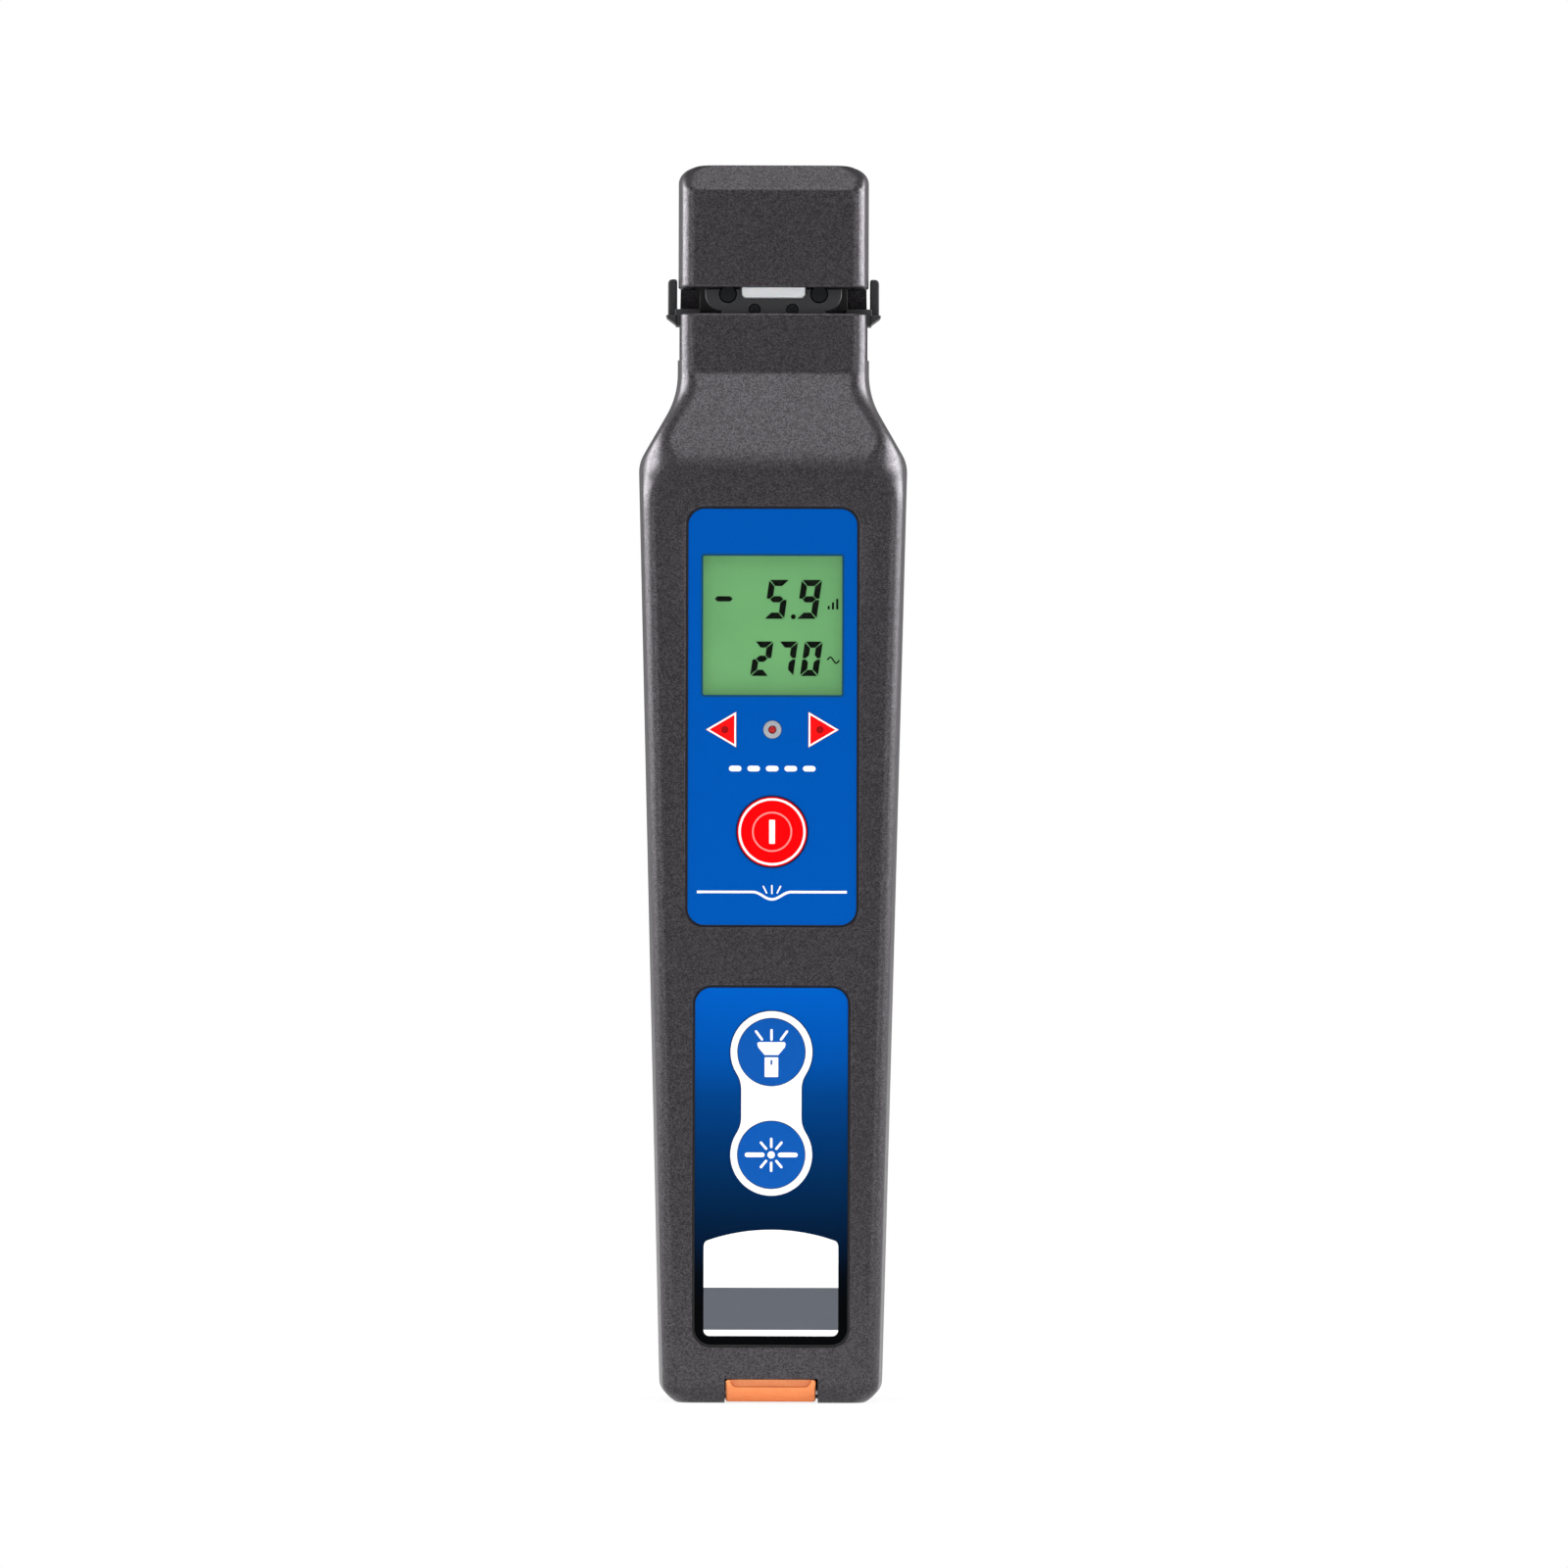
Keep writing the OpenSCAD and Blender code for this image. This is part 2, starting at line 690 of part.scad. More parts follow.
module casing_screws() {
    color("#9a9ca0") both_sides() for (p = screw_places)
        screw_y(screw_r, screw_head_r, screw_head_t, screw_l, p[0], p[1], screw_seat_y, 1);
}
module head_screws() {
    color("#9a9ca0") both_sides() screw_y(screw_r, screw_head_r, screw_head_t, head_screw_l,
        head_screw_x, head_screw_z, head_seat_y, 1);
}

module battery_door() {
    color("#3f3d41") {
        difference() {
            slab(door_w, door_in_y, rear_y, door_z + door_gap, door_z + door_gap + door_h);
            for (i = [0:grip_count - 1])
                slab(grip_w, rear_y - grip_t, rear_y + over,
                    door_z + door_h - grip_pitch * (i + 2), door_z + door_h - grip_pitch * (i + 2)
                    + grip_h);
        }
        both_sides() {
            box(tab_x - tab_w / 2, tab_x + tab_w / 2, tray_rear_y - tab_t - door_gap,
                tray_rear_y - door_gap, door_z - tab_h, door_z + tab_up);
            box(tab_x - tab_w / 2, tab_x + tab_w / 2, tray_rear_y - door_gap, door_in_y,
                door_z + door_gap, door_z + tab_up);
        }
    }
}
module battery_tray() {
    color("#2b2b2e") difference() {
        slab(tray_in_w + 2 * tray_wall, tray_in_y - tray_wall, tray_rear_y, tray_z, tray_top_z);
        slab(tray_in_w, tray_in_y, tray_rear_y + over, tray_z + tray_wall, tray_top_z - tray_wall);
    }
}
// A cell with its nub up, or down when turned is true
module cell(x, turned) {
    can_z = turned ? cell_room_z + nub_h : cell_room_z + spring_room;
    bar_z(cell_d / 2, x, cell_y, can_z, can_z + cell_l - nub_h);
    bar_z(nub_r, x, cell_y, turned ? can_z - nub_h : can_z + cell_l - nub_h,
        turned ? can_z : can_z + cell_l);
}
module battery_left() {
    color("#c9a227") cell(-cell_x, false);
}
module battery_right() {
    color("#c9a227") cell(cell_x, true);
}
module contact_plates() {
    color("#c8c9cc") for (x = [-cell_x, cell_x], z = [cell_room_z - contact_t,
        cell_room_z + cell_room_h])
        box(x - contact_w / 2, x + contact_w / 2, cell_y - contact_w / 2, cell_y + contact_w / 2,
            z, z + contact_t);
}
module contact_springs() {
    color("#c8c9cc") {
        translate([-cell_x, cell_y, cell_room_z])
            coil(cell_spring_r, spring_wire_r, cell_spring_turns, spring_room);
        translate([cell_x, cell_y, cell_room_z + cell_room_h - spring_room])
            coil(cell_spring_r, spring_wire_r, cell_spring_turns, spring_room);
    }
}

module upper_panel() {
    color("#0056b5") difference() {
        plate_y(film_y, panel_floor_y)
            round_rect(upper_w, upper_z, upper_z + upper_h, panel_r);
        slab(window_w, film_y - over, panel_floor_y + over, window_z - window_w / 2,
            window_z + window_w / 2);
        for (side = [-1, 1]) plate_y(film_y - over, panel_floor_y + over)
            arrow_outline(side, turn_gap);
        bar_y(bezel_r + turn_gap, 0, light_z, film_y - over, panel_floor_y + over);
        bar_y(power_key_d / 2 + key_gap, 0, power_key_z, film_y - over, panel_floor_y + over);
    }
}
module lower_panel() {
    color("#0b3f86") difference() {
        plate_y(film_y, panel_floor_y)
            round_rect(lower_w, lower_z, lower_z + lower_h, panel_r);
        for (z = [torch_key_z, locator_key_z])
            bar_y(small_key_d / 2 + key_gap, 0, z, film_y - over, panel_floor_y + over);
    }
}
module lcd_window() {
    color("#b8d8b4", 0.4) slab(window_w - 2 * snug_gap, panel_floor_y, panel_floor_y + window_t,
        window_z - window_w / 2 + snug_gap, window_z + window_w / 2 - snug_gap);
}
module lcd_panel() {
    color("#74b072") slab(lcd_w, lcd_y, lcd_y + lcd_t, window_z - lcd_h / 2, window_z + lcd_h / 2);
}
module lcd_holder() {
    room = lcd_w + 2 * turn_gap;
    room_h = lcd_h + 2 * turn_gap;
    color("#d9dadb") difference() {
        slab(room + 2 * holder_rim, lcd_y, board_y, window_z - room_h / 2 - holder_rim,
            window_z + room_h / 2 + holder_rim);
        slab(room, lcd_y - over, backlight_y + backlight_t, window_z - room_h / 2,
            window_z + room_h / 2);
    }
}
module backlight() {
    color("#f2f5ee") slab(lcd_w, backlight_y, backlight_y + backlight_t, window_z - lcd_h / 2,
        window_z + lcd_h / 2);
}
module arrow_lens(side) {
    color("#ff1a1a") plate_y(film_y, board_y - led_t - slide_gap) arrow_outline(side, 0);
}
module arrow_lens_left() {
    arrow_lens(-1);
}
module arrow_lens_right() {
    arrow_lens(1);
}
module arrow_leds() {
    color("#e8e3c8") both_sides() box(led_x - led_w / 2, led_x + led_w / 2, board_y - led_t,
        board_y, light_z - led_w / 2, light_z + led_w / 2);
}
module signal_bezel() {
    color("#a9adb3") difference() {
        union() {
            bar_y(bezel_r, 0, light_z, film_y, wall_in_y);
            bar_y(bezel_r + bezel_flange, 0, light_z, wall_in_y, wall_in_y + bezel_flange);
        }
        bar_y(signal_r + turn_gap, 0, light_z, film_y - over, wall_in_y + over);
    }
}
module signal_led() {
    color("#d01818") bar_y(signal_r, 0, light_z, film_y + turn_gap, board_y);
}
module key_cap(d, z) {
    bar_y(d / 2, 0, z, key_front_y, wall_in_y + key_gap);
    bar_y(d / 2 + key_flange, 0, z, wall_in_y + key_gap, wall_in_y + key_gap + key_flange);
    bar_y(key_stem_r, 0, z, wall_in_y + key_gap + key_flange, key_stem_y);
}
module power_key() {
    color("#f00a0f") key_cap(power_key_d, power_key_z);
}
module torch_key() {
    color("#0050b0") key_cap(small_key_d, torch_key_z);
}
module locator_key() {
    color("#0050b0") key_cap(small_key_d, locator_key_z);
}
module key_switches() {
    color("#2e3033") for (z = [power_key_z, torch_key_z, locator_key_z]) {
        slab(switch_w, board_y - switch_t, board_y, z - switch_w / 2, z + switch_w / 2);
        bar_y(plunger_r, 0, z, switch_top_y, board_y - switch_t);
    }
}
module main_board() {
    color("#1f6b3a") difference() {
        slab(board_w, board_y, board_rear_y, board_z, board_top_z);
        for (x = [-board_screw_x, board_screw_x], z = board_screw_zs)
            bar_y(board_screw_r + fit_gap, x, z, board_y - over, board_rear_y + over);
        both_sides() for (p = screw_places)
            bar_y(boss_r + slide_gap, p[0], p[1], board_y - over, board_rear_y + over);
    }
}
module board_screws() {
    color("#b9bbc0") for (x = [-board_screw_x, board_screw_x], z = board_screw_zs)
        screw_y(board_screw_r, board_screw_head_r, board_screw_head_t, board_screw_l, x, z,
            board_rear_y, 1);
}
// Chips on the board's rear: x, drop from the board's top, width and height of each
chip_boxes = [[-3.3, 34, 9.2, 9.2], [7.1, 39.5, 4.9, 6], [-6.8, 55.8, 4.1, 8.2], [2.7, 59.9, 8.2, 4.9]];
chip_t = 1.1;
module board_chips() {
    color("#1c1c1e") for (c = chip_boxes)
        box(c[0] - c[2] / 2, c[0] + c[2] / 2, board_rear_y, board_rear_y + chip_t,
            board_top_z - c[1] - c[3] / 2, board_top_z - c[1] + c[3] / 2);
}
buzzer_r = 4.6;
buzzer_t = 3;
buzzer_x = 7.5;
buzzer_drop = 19;
buzzer_z = board_top_z - buzzer_drop;
module buzzer() {
    color("#202022") difference() {
        bar_y(buzzer_r, buzzer_x, buzzer_z, board_rear_y, board_rear_y + buzzer_t);
        bar_y(buzzer_r / 5, buzzer_x, buzzer_z, board_rear_y + buzzer_t / 2,
            board_rear_y + buzzer_t + over);
    }
}
module flex_connector() {
    color("#e9e4d2") box(-flex_x - connector_w / 2, -flex_x + connector_w / 2, board_rear_y,
        board_rear_y + connector_t, flex_foot_z - connector_h / 2, flex_foot_z + connector_h / 2);
}
module flex_cable() {
    top_z = detector_board_z + detector_board_t;
    color("#c98a2b") plate_x(-flex_x - flex_w / 2, -flex_x + flex_w / 2)
        polygon([[board_rear_y + connector_t, flex_foot_z], [flex_y, flex_foot_z],
            [flex_y, top_z], [flex_y - 2 * wall, top_z], [flex_y - 2 * wall, top_z + flex_t],
            [flex_y + flex_t, top_z + flex_t], [flex_y + flex_t, flex_foot_z - flex_t],
            [board_rear_y + connector_t, flex_foot_z - flex_t]]);
}

module port_housing() {
    foot_w1 = housing_w / 2;
    color("#38383b") difference() {
        union() {
            slab(housing_w, housing_front_y, housing_rear_y, housing_z, housing_z + housing_h);
            both_sides() {
                box(cover_w / 2 + cover_gap_right + fit_gap, foot_w1, housing_front_y,
                    -wall, wall, housing_z);
                box(cover_w / 2 + cover_gap_right + fit_gap, foot_w1, notch_rear_y + wall + fit_gap,
                    housing_rear_y, wall, housing_z);
            }
        }
        bar_z(sleeve_r + snug_gap, 0, port_y, -over, housing_z + housing_h - wall);
        bar_z(laser_r + snug_gap, 0, port_y, housing_z, housing_z + housing_h + over);
        bar_z(torch_led_r + snug_gap, 0, torch_y, -over, housing_z + housing_h + over);
    }
}
module ferrule_sleeve() {
    color("#c9cbce") difference() {
        bar_z(sleeve_r, 0, port_y, sleeve_z, sleeve_z + ferrule_l);
        bar_z(ferrule_bore_d / 2, 0, port_y, sleeve_z - over, sleeve_z + ferrule_l + over);
    }
}
module laser_module() {
    z0 = sleeve_z + ferrule_l;
    color("#b8923f") difference() {
        union() {
            bar_z(laser_r, 0, port_y, z0, z0 + laser_l);
            bar_z(collar_r, 0, port_y, max(z0, housing_z + housing_h) + fit_gap,
                max(z0, housing_z + housing_h) + fit_gap + collar_t);
        }
        bar_z(laser_r / 3, 0, port_y, z0 - over, z0 + wall);
    }
}
module torch_lens() {
    color("#e6eef2", 0.5) bar_z(torch_d / 2, 0, torch_y, wall - torch_lens_t, wall);
}
module torch_led() {
    top = housing_z + housing_h;
    color("#f4f6f0", 0.8) {
        translate([0, torch_y, top - torch_led_l + torch_led_r])
            intersection() {
                sphere(torch_led_r);
                translate([0, 0, -torch_led_r]) cube(2 * torch_led_r, center = true);
            }
        bar_z(torch_led_r, 0, torch_y, top - torch_led_l + torch_led_r, top);
    }
}
module torch_board() {
    top = housing_z + housing_h;
    color("#1f6b3a") slab(torch_board_w, torch_y - torch_board_w / 2 + fit_gap,
        housing_rear_y, top, top + torch_board_t);
}
module port_cover() {
    x0 = -cover_w / 2;
    z0 = cover_rise;
    lip_y = front_y + cover_lip_t;
    foot_y = front_at(z0);
    color("#fc8e59") difference() {
        union() {
            plate_x(x0, x0 + cover_w) polygon([[front_y, foot_h], [front_y, z0 + cover_h],
                [lip_y, z0 + cover_h], [lip_y, z0 + cover_t], [cover_pin_y, z0 + cover_t],
                [cover_pin_y, z0], [foot_y, z0]]);
            bar_x(knuckle_r, cover_pin_y, cover_pin_z, x0, x0 + cover_w);
        }
        bar_x(cover_pin_r + turn_gap, cover_pin_y, cover_pin_z, x0 - over, x0 + cover_w + over);
        intersection() {
            plate_y(front_y - over, front_y + scoop_d)
                translate([0, z0 + cover_h + scoop_r - 2 * scoop_d]) circle(scoop_r);
            slab(scoop_w, front_y - over, front_y + scoop_d, z0, z0 + 2 * cover_h);
        }
    }
}
module cover_pin() {
    color("#b9bbc0") bar_x(cover_pin_r, cover_pin_y, cover_pin_z,
        -cover_w / 2 - pin_bite, cover_w / 2 + pin_bite);
}

module clamp_carriage() {
    color("#2f2f33") difference() {
        slab(moving_w, cradle_y, moving_rear_y, carriage_z, carriage_top_z);
        both_sides() bar_z(rod_d / 2 + turn_gap, rod_x, rod_y, carriage_z - over,
            carriage_top_z - wall);
        for (z = [arm_z + arm_h / 4, arm_z + arm_h * 3 / 4])
            bar_y(trigger_screw_r + snug_gap, 0, z,
                trigger_seat_y - trigger_screw_l - turn_gap * 4, moving_rear_y + over);
    }
}
module fibre_cradle() {
    color("#2a2a2e") difference() {
        union() {
            slab(moving_w, cradle_y, moving_rear_y, carriage_top_z, floor_z);
            slab(moving_w, back_wall_y, back_wall_y + back_wall_t, floor_z, head_z + anvil_cut);
            slab(cheek_lug_w, cradle_y, cradle_y + cheek_lug_t, floor_z, floor_z + cheek_lug_h);
            both_sides() {
                box(moving_w / 2, ear_in + ear_flare, web_front_y, web_rear_y, web_z,
                    floor_z + web_lip);
                plate_y(web_front_y - slide_gap, web_rear_y)
                    polygon([[ear_in, floor_z], [ear_in, web_z], [ear_out + ear_flare,
                        floor_z - ear_drop], [ear_out + ear_flare, floor_z]]);
                plate_y(back_wall_y, web_rear_y)
                    polygon([[ear_in, floor_z], [ear_out, floor_z], [ear_out, ear_top_z - ear_flare * 3],
                        [ear_out - ear_flare * 2, ear_top_z], [ear_in + ear_flare, ear_top_z],
                        [ear_in, ear_top_z - ear_flare]]);
            }
        }
        for (x = [-1, 1] * bend_pin_gap / 2)
            bar_y(bend_pin_d / 2 + snug_gap, x, bend_pin_z, back_wall_y - over,
                back_wall_y + back_wall_t / 2);
        for (x = [-1, 1] * cheek_screw_x)
            bar_y(cheek_screw_r + snug_gap, x, cheek_screw_at, cradle_y - over,
                cheek_y + cheek_t / 2 + cheek_screw_l + turn_gap * 4);
    }
}
module cheek_outline() {
    r = bend_pin_d;
    intersection() {
        union() {
            translate([-cheek_w / 2, bend_pin_z - fit_gap * 2]) square([cheek_w, head_z - bend_pin_z]);
            for (x = [-1, 1] * (cheek_w / 2 - r)) translate([x, bend_pin_z]) circle(r);
            translate([-cheek_w / 2 + r, bend_pin_z - r]) square([cheek_w - 2 * r, r]);
            translate([-cheek_foot_w / 2, floor_z - cheek_h / 2]) square([cheek_foot_w, cheek_h / 2
                + r]);
        }
        translate([-cheek_w, floor_z - cheek_h])
            square([2 * cheek_w, cheek_h + head_z - fit_gap - floor_z]);
    }
}
module anvil_outline(grow) {
    w = anvil_w / 2 + grow;
    polygon([[-w, head_z + anvil_up], [-w, anvil_z + anvil_cut], [-w + anvil_cut, anvil_z - grow],
        [w - anvil_cut, anvil_z - grow], [w, anvil_z + anvil_cut], [w, head_z + anvil_up]]);
}
module front_cheek() {
    color("#303034") difference() {
        plate_y(cheek_y, cradle_y) cheek_outline();
        plate_y(cheek_y - over, cradle_y + over) anvil_outline(fit_gap);
        for (x = [-1, 1] * bend_pin_gap / 2)
            bar_y(bend_pin_d / 2 + snug_gap, x, bend_pin_z, cheek_y - over, cradle_y + over);
        for (x = [-1, 1] * cheek_screw_x) {
            bar_y(cheek_screw_r + turn_gap, x, cheek_screw_at, cheek_y - over, cradle_y + over);
            bar_y(cheek_screw_head_r + turn_gap, x, cheek_screw_at, cheek_y - over,
                cheek_y + cheek_t / 2);
        }
    }
}
module cheek_screws() {
    color("#6d6f73") both_sides() screw_y(cheek_screw_r, cheek_screw_head_r, cheek_t / 2 - turn_gap,
        cheek_screw_l, cheek_screw_x, cheek_screw_at, cheek_y + cheek_t / 2, -1);
}
module bend_pins() {
    color("#232427") for (x = [-1, 1] * bend_pin_gap / 2)
        bar_y(bend_pin_d / 2, x, bend_pin_z, cheek_y + turn_gap, back_wall_y + back_wall_t / 2);
}
module guide_rods() {
    color("#c9cbce") both_sides() bar_z(rod_d / 2, rod_x, rod_y, bracket_top_z - bracket_h,
        carriage_top_z - wall - clamp_travel - slide_gap);
}
module rod_bracket() {
    color("#4a4a4e") difference() {
        slab(bracket_w, bracket_front_y, bracket_rear_y, bracket_top_z - bracket_h, bracket_top_z);
        both_sides() {
            bar_z(rod_d / 2 + snug_gap, rod_x, rod_y, bracket_top_z - bracket_h - over,
                bracket_top_z + over);
            bar_y(bracket_screw_r + fit_gap, bracket_screw_x, bracket_top_z - bracket_h / 2,
                bracket_front_y - over, bracket_rear_y + over);
        }
    }
}
module bracket_screws() {
    color("#b9bbc0") both_sides() screw_y(bracket_screw_r, bracket_screw_head_r,
        bracket_screw_head_t, bracket_screw_l, bracket_screw_x, bracket_top_z - bracket_h / 2,
        bracket_front_y, -1);
}
module return_springs() {
    color("#c8c9cc") both_sides() translate([rod_x, rod_y, bracket_top_z])
        coil(spring_r, spring_wire_r, spring_turns, spring_h);
}
module thumb_trigger() {
    color("#2a2a2e") difference() {
        union() {
            slab(arm_w, moving_rear_y, trigger_y + wall, arm_z, arm_z + arm_h);
            plate_y(trigger_y, trigger_y + trigger_t - ridge_t)
                round_rect(trigger_w, trigger_z, trigger_z + trigger_h, wall);
            for (i = [0:trigger_ridges - 1])
                bar_x(ridge_t, trigger_y + trigger_t - ridge_t,
                    trigger_z + wall + ridge_t + i * (trigger_h - 2 * wall - 2 * ridge_t)
                    / (trigger_ridges - 1), -trigger_w / 2 + wall, trigger_w / 2 - wall);
        }
        for (z = [arm_z + arm_h / 4, arm_z + arm_h * 3 / 4]) {
            bar_y(trigger_screw_r + fit_gap, 0, z, 0, rear_y + over);
            bar_y(trigger_screw_head_r + fit_gap, 0, z, trigger_seat_y, rear_y + trigger_t);
        }
    }
}
module trigger_screws() {
    color("#b9bbc0") for (z = [arm_z + arm_h / 4, arm_z + arm_h * 3 / 4])
        screw_y(trigger_screw_r, trigger_screw_head_r, trigger_screw_head_t, trigger_screw_l, 0, z,
            trigger_seat_y, 1);
}

module anvil() {
    color("#e6e9ee") plate_y(anvil_front_y, anvil_rear_y) anvil_outline(0);
}
module anvil_holder() {
    color("#2b2b2e") difference() {
        slab(holder_w, holder_front_y, holder_rear_y, holder_z, holder_z + holder_h);
        plate_y(anvil_front_y - snug_gap, anvil_rear_y + snug_gap) anvil_outline(snug_gap);
        for (x = [-detector_x, detector_x])
            bar_z(detector_r + snug_gap, x, detector_y, holder_z - over, holder_z + holder_h + over);
        both_sides() bar_z(holder_screw_r + snug_gap, holder_screw_x, holder_screw_y,
            holder_z + holder_h - holder_screw_l, holder_z + holder_h + over);
    }
}
module holder_screws() {
    z = detector_board_z + detector_board_t;
    color("#b9bbc0") both_sides() {
        bar_z(holder_screw_r, holder_screw_x, holder_screw_y, z - holder_screw_l, z);
        bar_z(holder_screw_head_r, holder_screw_x, holder_screw_y, z, z + holder_screw_head_t);
    }
}
module photodetectors() {
    color("#c7b36a") for (x = [-detector_x, detector_x])
        bar_z(detector_r, x, detector_y, detector_board_z - detector_h, detector_board_z);
}
module detector_board() {
    z = detector_board_z;
    color("#1f6b3a") difference() {
        slab(holder_w, holder_front_y, holder_rear_y, z, z + detector_board_t);
        both_sides() bar_z(holder_screw_r + fit_gap, holder_screw_x, holder_screw_y, z - over,
            z + detector_board_t + over);
    }
}
module detector_shield() {
    z = detector_board_z + detector_board_t;
    color("#c9cbce") difference() {
        slab(shield_w, holder_front_y + wall, holder_front_y + shield_d, z, z + shield_h);
        slab(shield_w - 2 * shield_t, holder_front_y + wall + shield_t,
            holder_front_y + shield_d - shield_t, z - over, z + shield_h - shield_t);
    }
}

front_shell();
rear_shell();
head_front_cover();
casing_screws();
head_screws();
battery_door();
battery_tray();
battery_left();
battery_right();
contact_plates();
contact_springs();
upper_panel();
lower_panel();
lcd_window();
lcd_panel();
lcd_holder();
backlight();
arrow_lens_left();
arrow_lens_right();
arrow_leds();
signal_bezel();
signal_led();
power_key();
torch_key();
locator_key();
key_switches();
main_board();
board_screws();
board_chips();
buzzer();
flex_cable();
flex_connector();
port_housing();
ferrule_sleeve();
laser_module();
torch_lens();
torch_led();
torch_board();
port_cover();
cover_pin();
clamp_carriage();
fibre_cradle();
front_cheek();
cheek_screws();
bend_pins();
guide_rods();
rod_bracket();
bracket_screws();
return_springs();
thumb_trigger();
trigger_screws();
anvil();
anvil_holder();
holder_screws();
photodetectors();
detector_board();
detector_shield();
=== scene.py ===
from math import asin, atan2, cos, degrees, exp, pi, radians, sin, sqrt, tan
import bpy
import bmesh
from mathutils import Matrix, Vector


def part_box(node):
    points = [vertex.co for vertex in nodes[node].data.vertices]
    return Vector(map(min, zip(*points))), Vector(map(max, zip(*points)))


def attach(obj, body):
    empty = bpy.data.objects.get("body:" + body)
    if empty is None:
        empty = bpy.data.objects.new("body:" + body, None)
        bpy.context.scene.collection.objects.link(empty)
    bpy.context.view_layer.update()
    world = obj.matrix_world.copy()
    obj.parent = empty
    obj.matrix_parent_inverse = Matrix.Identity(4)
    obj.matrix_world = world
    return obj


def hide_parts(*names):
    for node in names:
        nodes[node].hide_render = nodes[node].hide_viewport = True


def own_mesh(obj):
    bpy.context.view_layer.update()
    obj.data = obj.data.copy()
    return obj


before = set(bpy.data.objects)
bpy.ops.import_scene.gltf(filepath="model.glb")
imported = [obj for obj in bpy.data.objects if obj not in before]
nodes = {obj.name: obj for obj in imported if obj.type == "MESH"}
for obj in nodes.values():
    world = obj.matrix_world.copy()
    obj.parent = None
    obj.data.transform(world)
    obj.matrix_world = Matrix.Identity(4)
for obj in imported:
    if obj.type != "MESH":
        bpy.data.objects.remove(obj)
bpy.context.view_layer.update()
mm = 0.001  # the scene is in metres, sizes below are in millimetres
print("frame loaded,", len(nodes), "nodes")


# A node's lowest and highest corner as the frame has them, in millimetres
def boxOf(node):
    return [[c / mm for c in corner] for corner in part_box(node)]


def centreOf(node):
    return [(a + b) / 2 for a, b in zip(*boxOf(node))]


filmY, recessY = (corner[1] for corner in boxOf("upper_panel"))
windowLow, windowHigh = boxOf("lcd_window")
windowZ = (windowLow[2] + windowHigh[2]) / 2
windowHalf = (windowHigh[0] - windowLow[0]) / 2


# Colours are written as sRGB hex and turned linear here
def paint(code):
    parts = [int(code[i:i + 2], 16) / 255 for i in (0, 2, 4)]
    return (*[c / 12.92 if c <= 0.04045 else ((c + 0.055) / 1.055) ** 2.4 for c in parts], 1.0)


# Adds one node with its settings and its links, each link as input: (node, output)
def addNode(tree, kind, settings=None, links=None):
    node = tree.nodes.new("ShaderNode" + kind)
    for key, value in (settings or {}).items():
        if isinstance(key, str) and hasattr(node, key):
            setattr(node, key, value)
        else:
            node.inputs[key].default_value = value
    for key, (source, output) in (links or {}).items():
        tree.links.new(source.outputs[output], node.inputs[key])
    return node


# A principled material; text among its other settings is a hex colour
def newMaterial(name, tone, rough, others):
    material = bpy.data.materials.new(name)
    material.use_nodes = True
    tree = material.node_tree
    shader = tree.nodes["Principled BSDF"]
    for key, value in {"Base Color": tone, "Roughness": rough, **others}.items():
        shader.inputs[key].default_value = paint(value) if isinstance(value, str) else value
    material.diffuse_color = paint(tone)
    return material, tree, shader


def drive(tree, shader, socket, node, output):
    tree.links.new(node.outputs[output], shader.inputs[socket])


def objectPlace(tree):
    return addNode(tree, "TexCoord"), "Object"


def noise(tree, spacingMm, detail=2.0, fray=0.5, spot=None):
    return addNode(tree, "TexNoise", {"Scale": 1 / (spacingMm * mm), "Detail": detail, "Roughness": fray},
                   {"Vector": spot or objectPlace(tree)})


# Colours along a factor, each stop as (place, hex)
def toneRamp(tree, source, output, stops, blend="LINEAR"):
    ramp = addNode(tree, "ValToRGB", {}, {"Fac": (source, output)})
    band = ramp.color_ramp
    band.interpolation = blend
    for element, (spot, tone) in zip(band.elements, (stops[0], stops[-1])):
        element.position, element.color = spot, paint(tone)
    for spot, tone in stops[1:-1]:
        band.elements.new(spot).color = paint(tone)
    return ramp


def mapRange(tree, source, output, low, high, fromLow=0.0, fromHigh=1.0):
    return addNode(tree, "MapRange",
                   {"From Min": fromLow, "From Max": fromHigh, "To Min": low, "To Max": high},
                   {"Value": (source, output)})


def addBump(tree, shader, source, depthMm, strength):
    bump = addNode(tree, "Bump", {"Strength": strength, "Distance": depthMm * mm}, {"Height": (source, "Fac")})
    drive(tree, shader, "Normal", bump, "Normal")


# A finish whose colour wavers between two tones with fine noise, which can also raise its surface
def mottled(name, tone, rough, others, tones, spacingMm, detail=2.0, fray=0.5, span=(0.3, 0.7), bump=None):
    material, tree, shader = newMaterial(name, tone, rough, others)
    grain = noise(tree, spacingMm, detail, fray)
    drive(tree, shader, "Base Color", toneRamp(tree, grain, "Fac", list(zip(span, tones))), "Color")
    if bump:
        addBump(tree, shader, grain, *bump)
    return material


# ABS moulding sprayed with a dark metallic grey lacquer: orange-peel grain and pale aluminium flakes,
# drawn coarser than the real ones so that they show
lacquer = {"deep": "29262a", "light": "353135", "mottleMm": 1.1, "mottleSpan": (0.32, 0.68),
           "flakeTone": "77747a", "flakeMm": 0.17, "flakeFrom": 0.2, "flakeMost": 0.41,
           "grainMm": 0.24, "grainDepth": 0.04, "metallic": 0.6, "roughLow": 0.3, "roughHigh": 0.42}


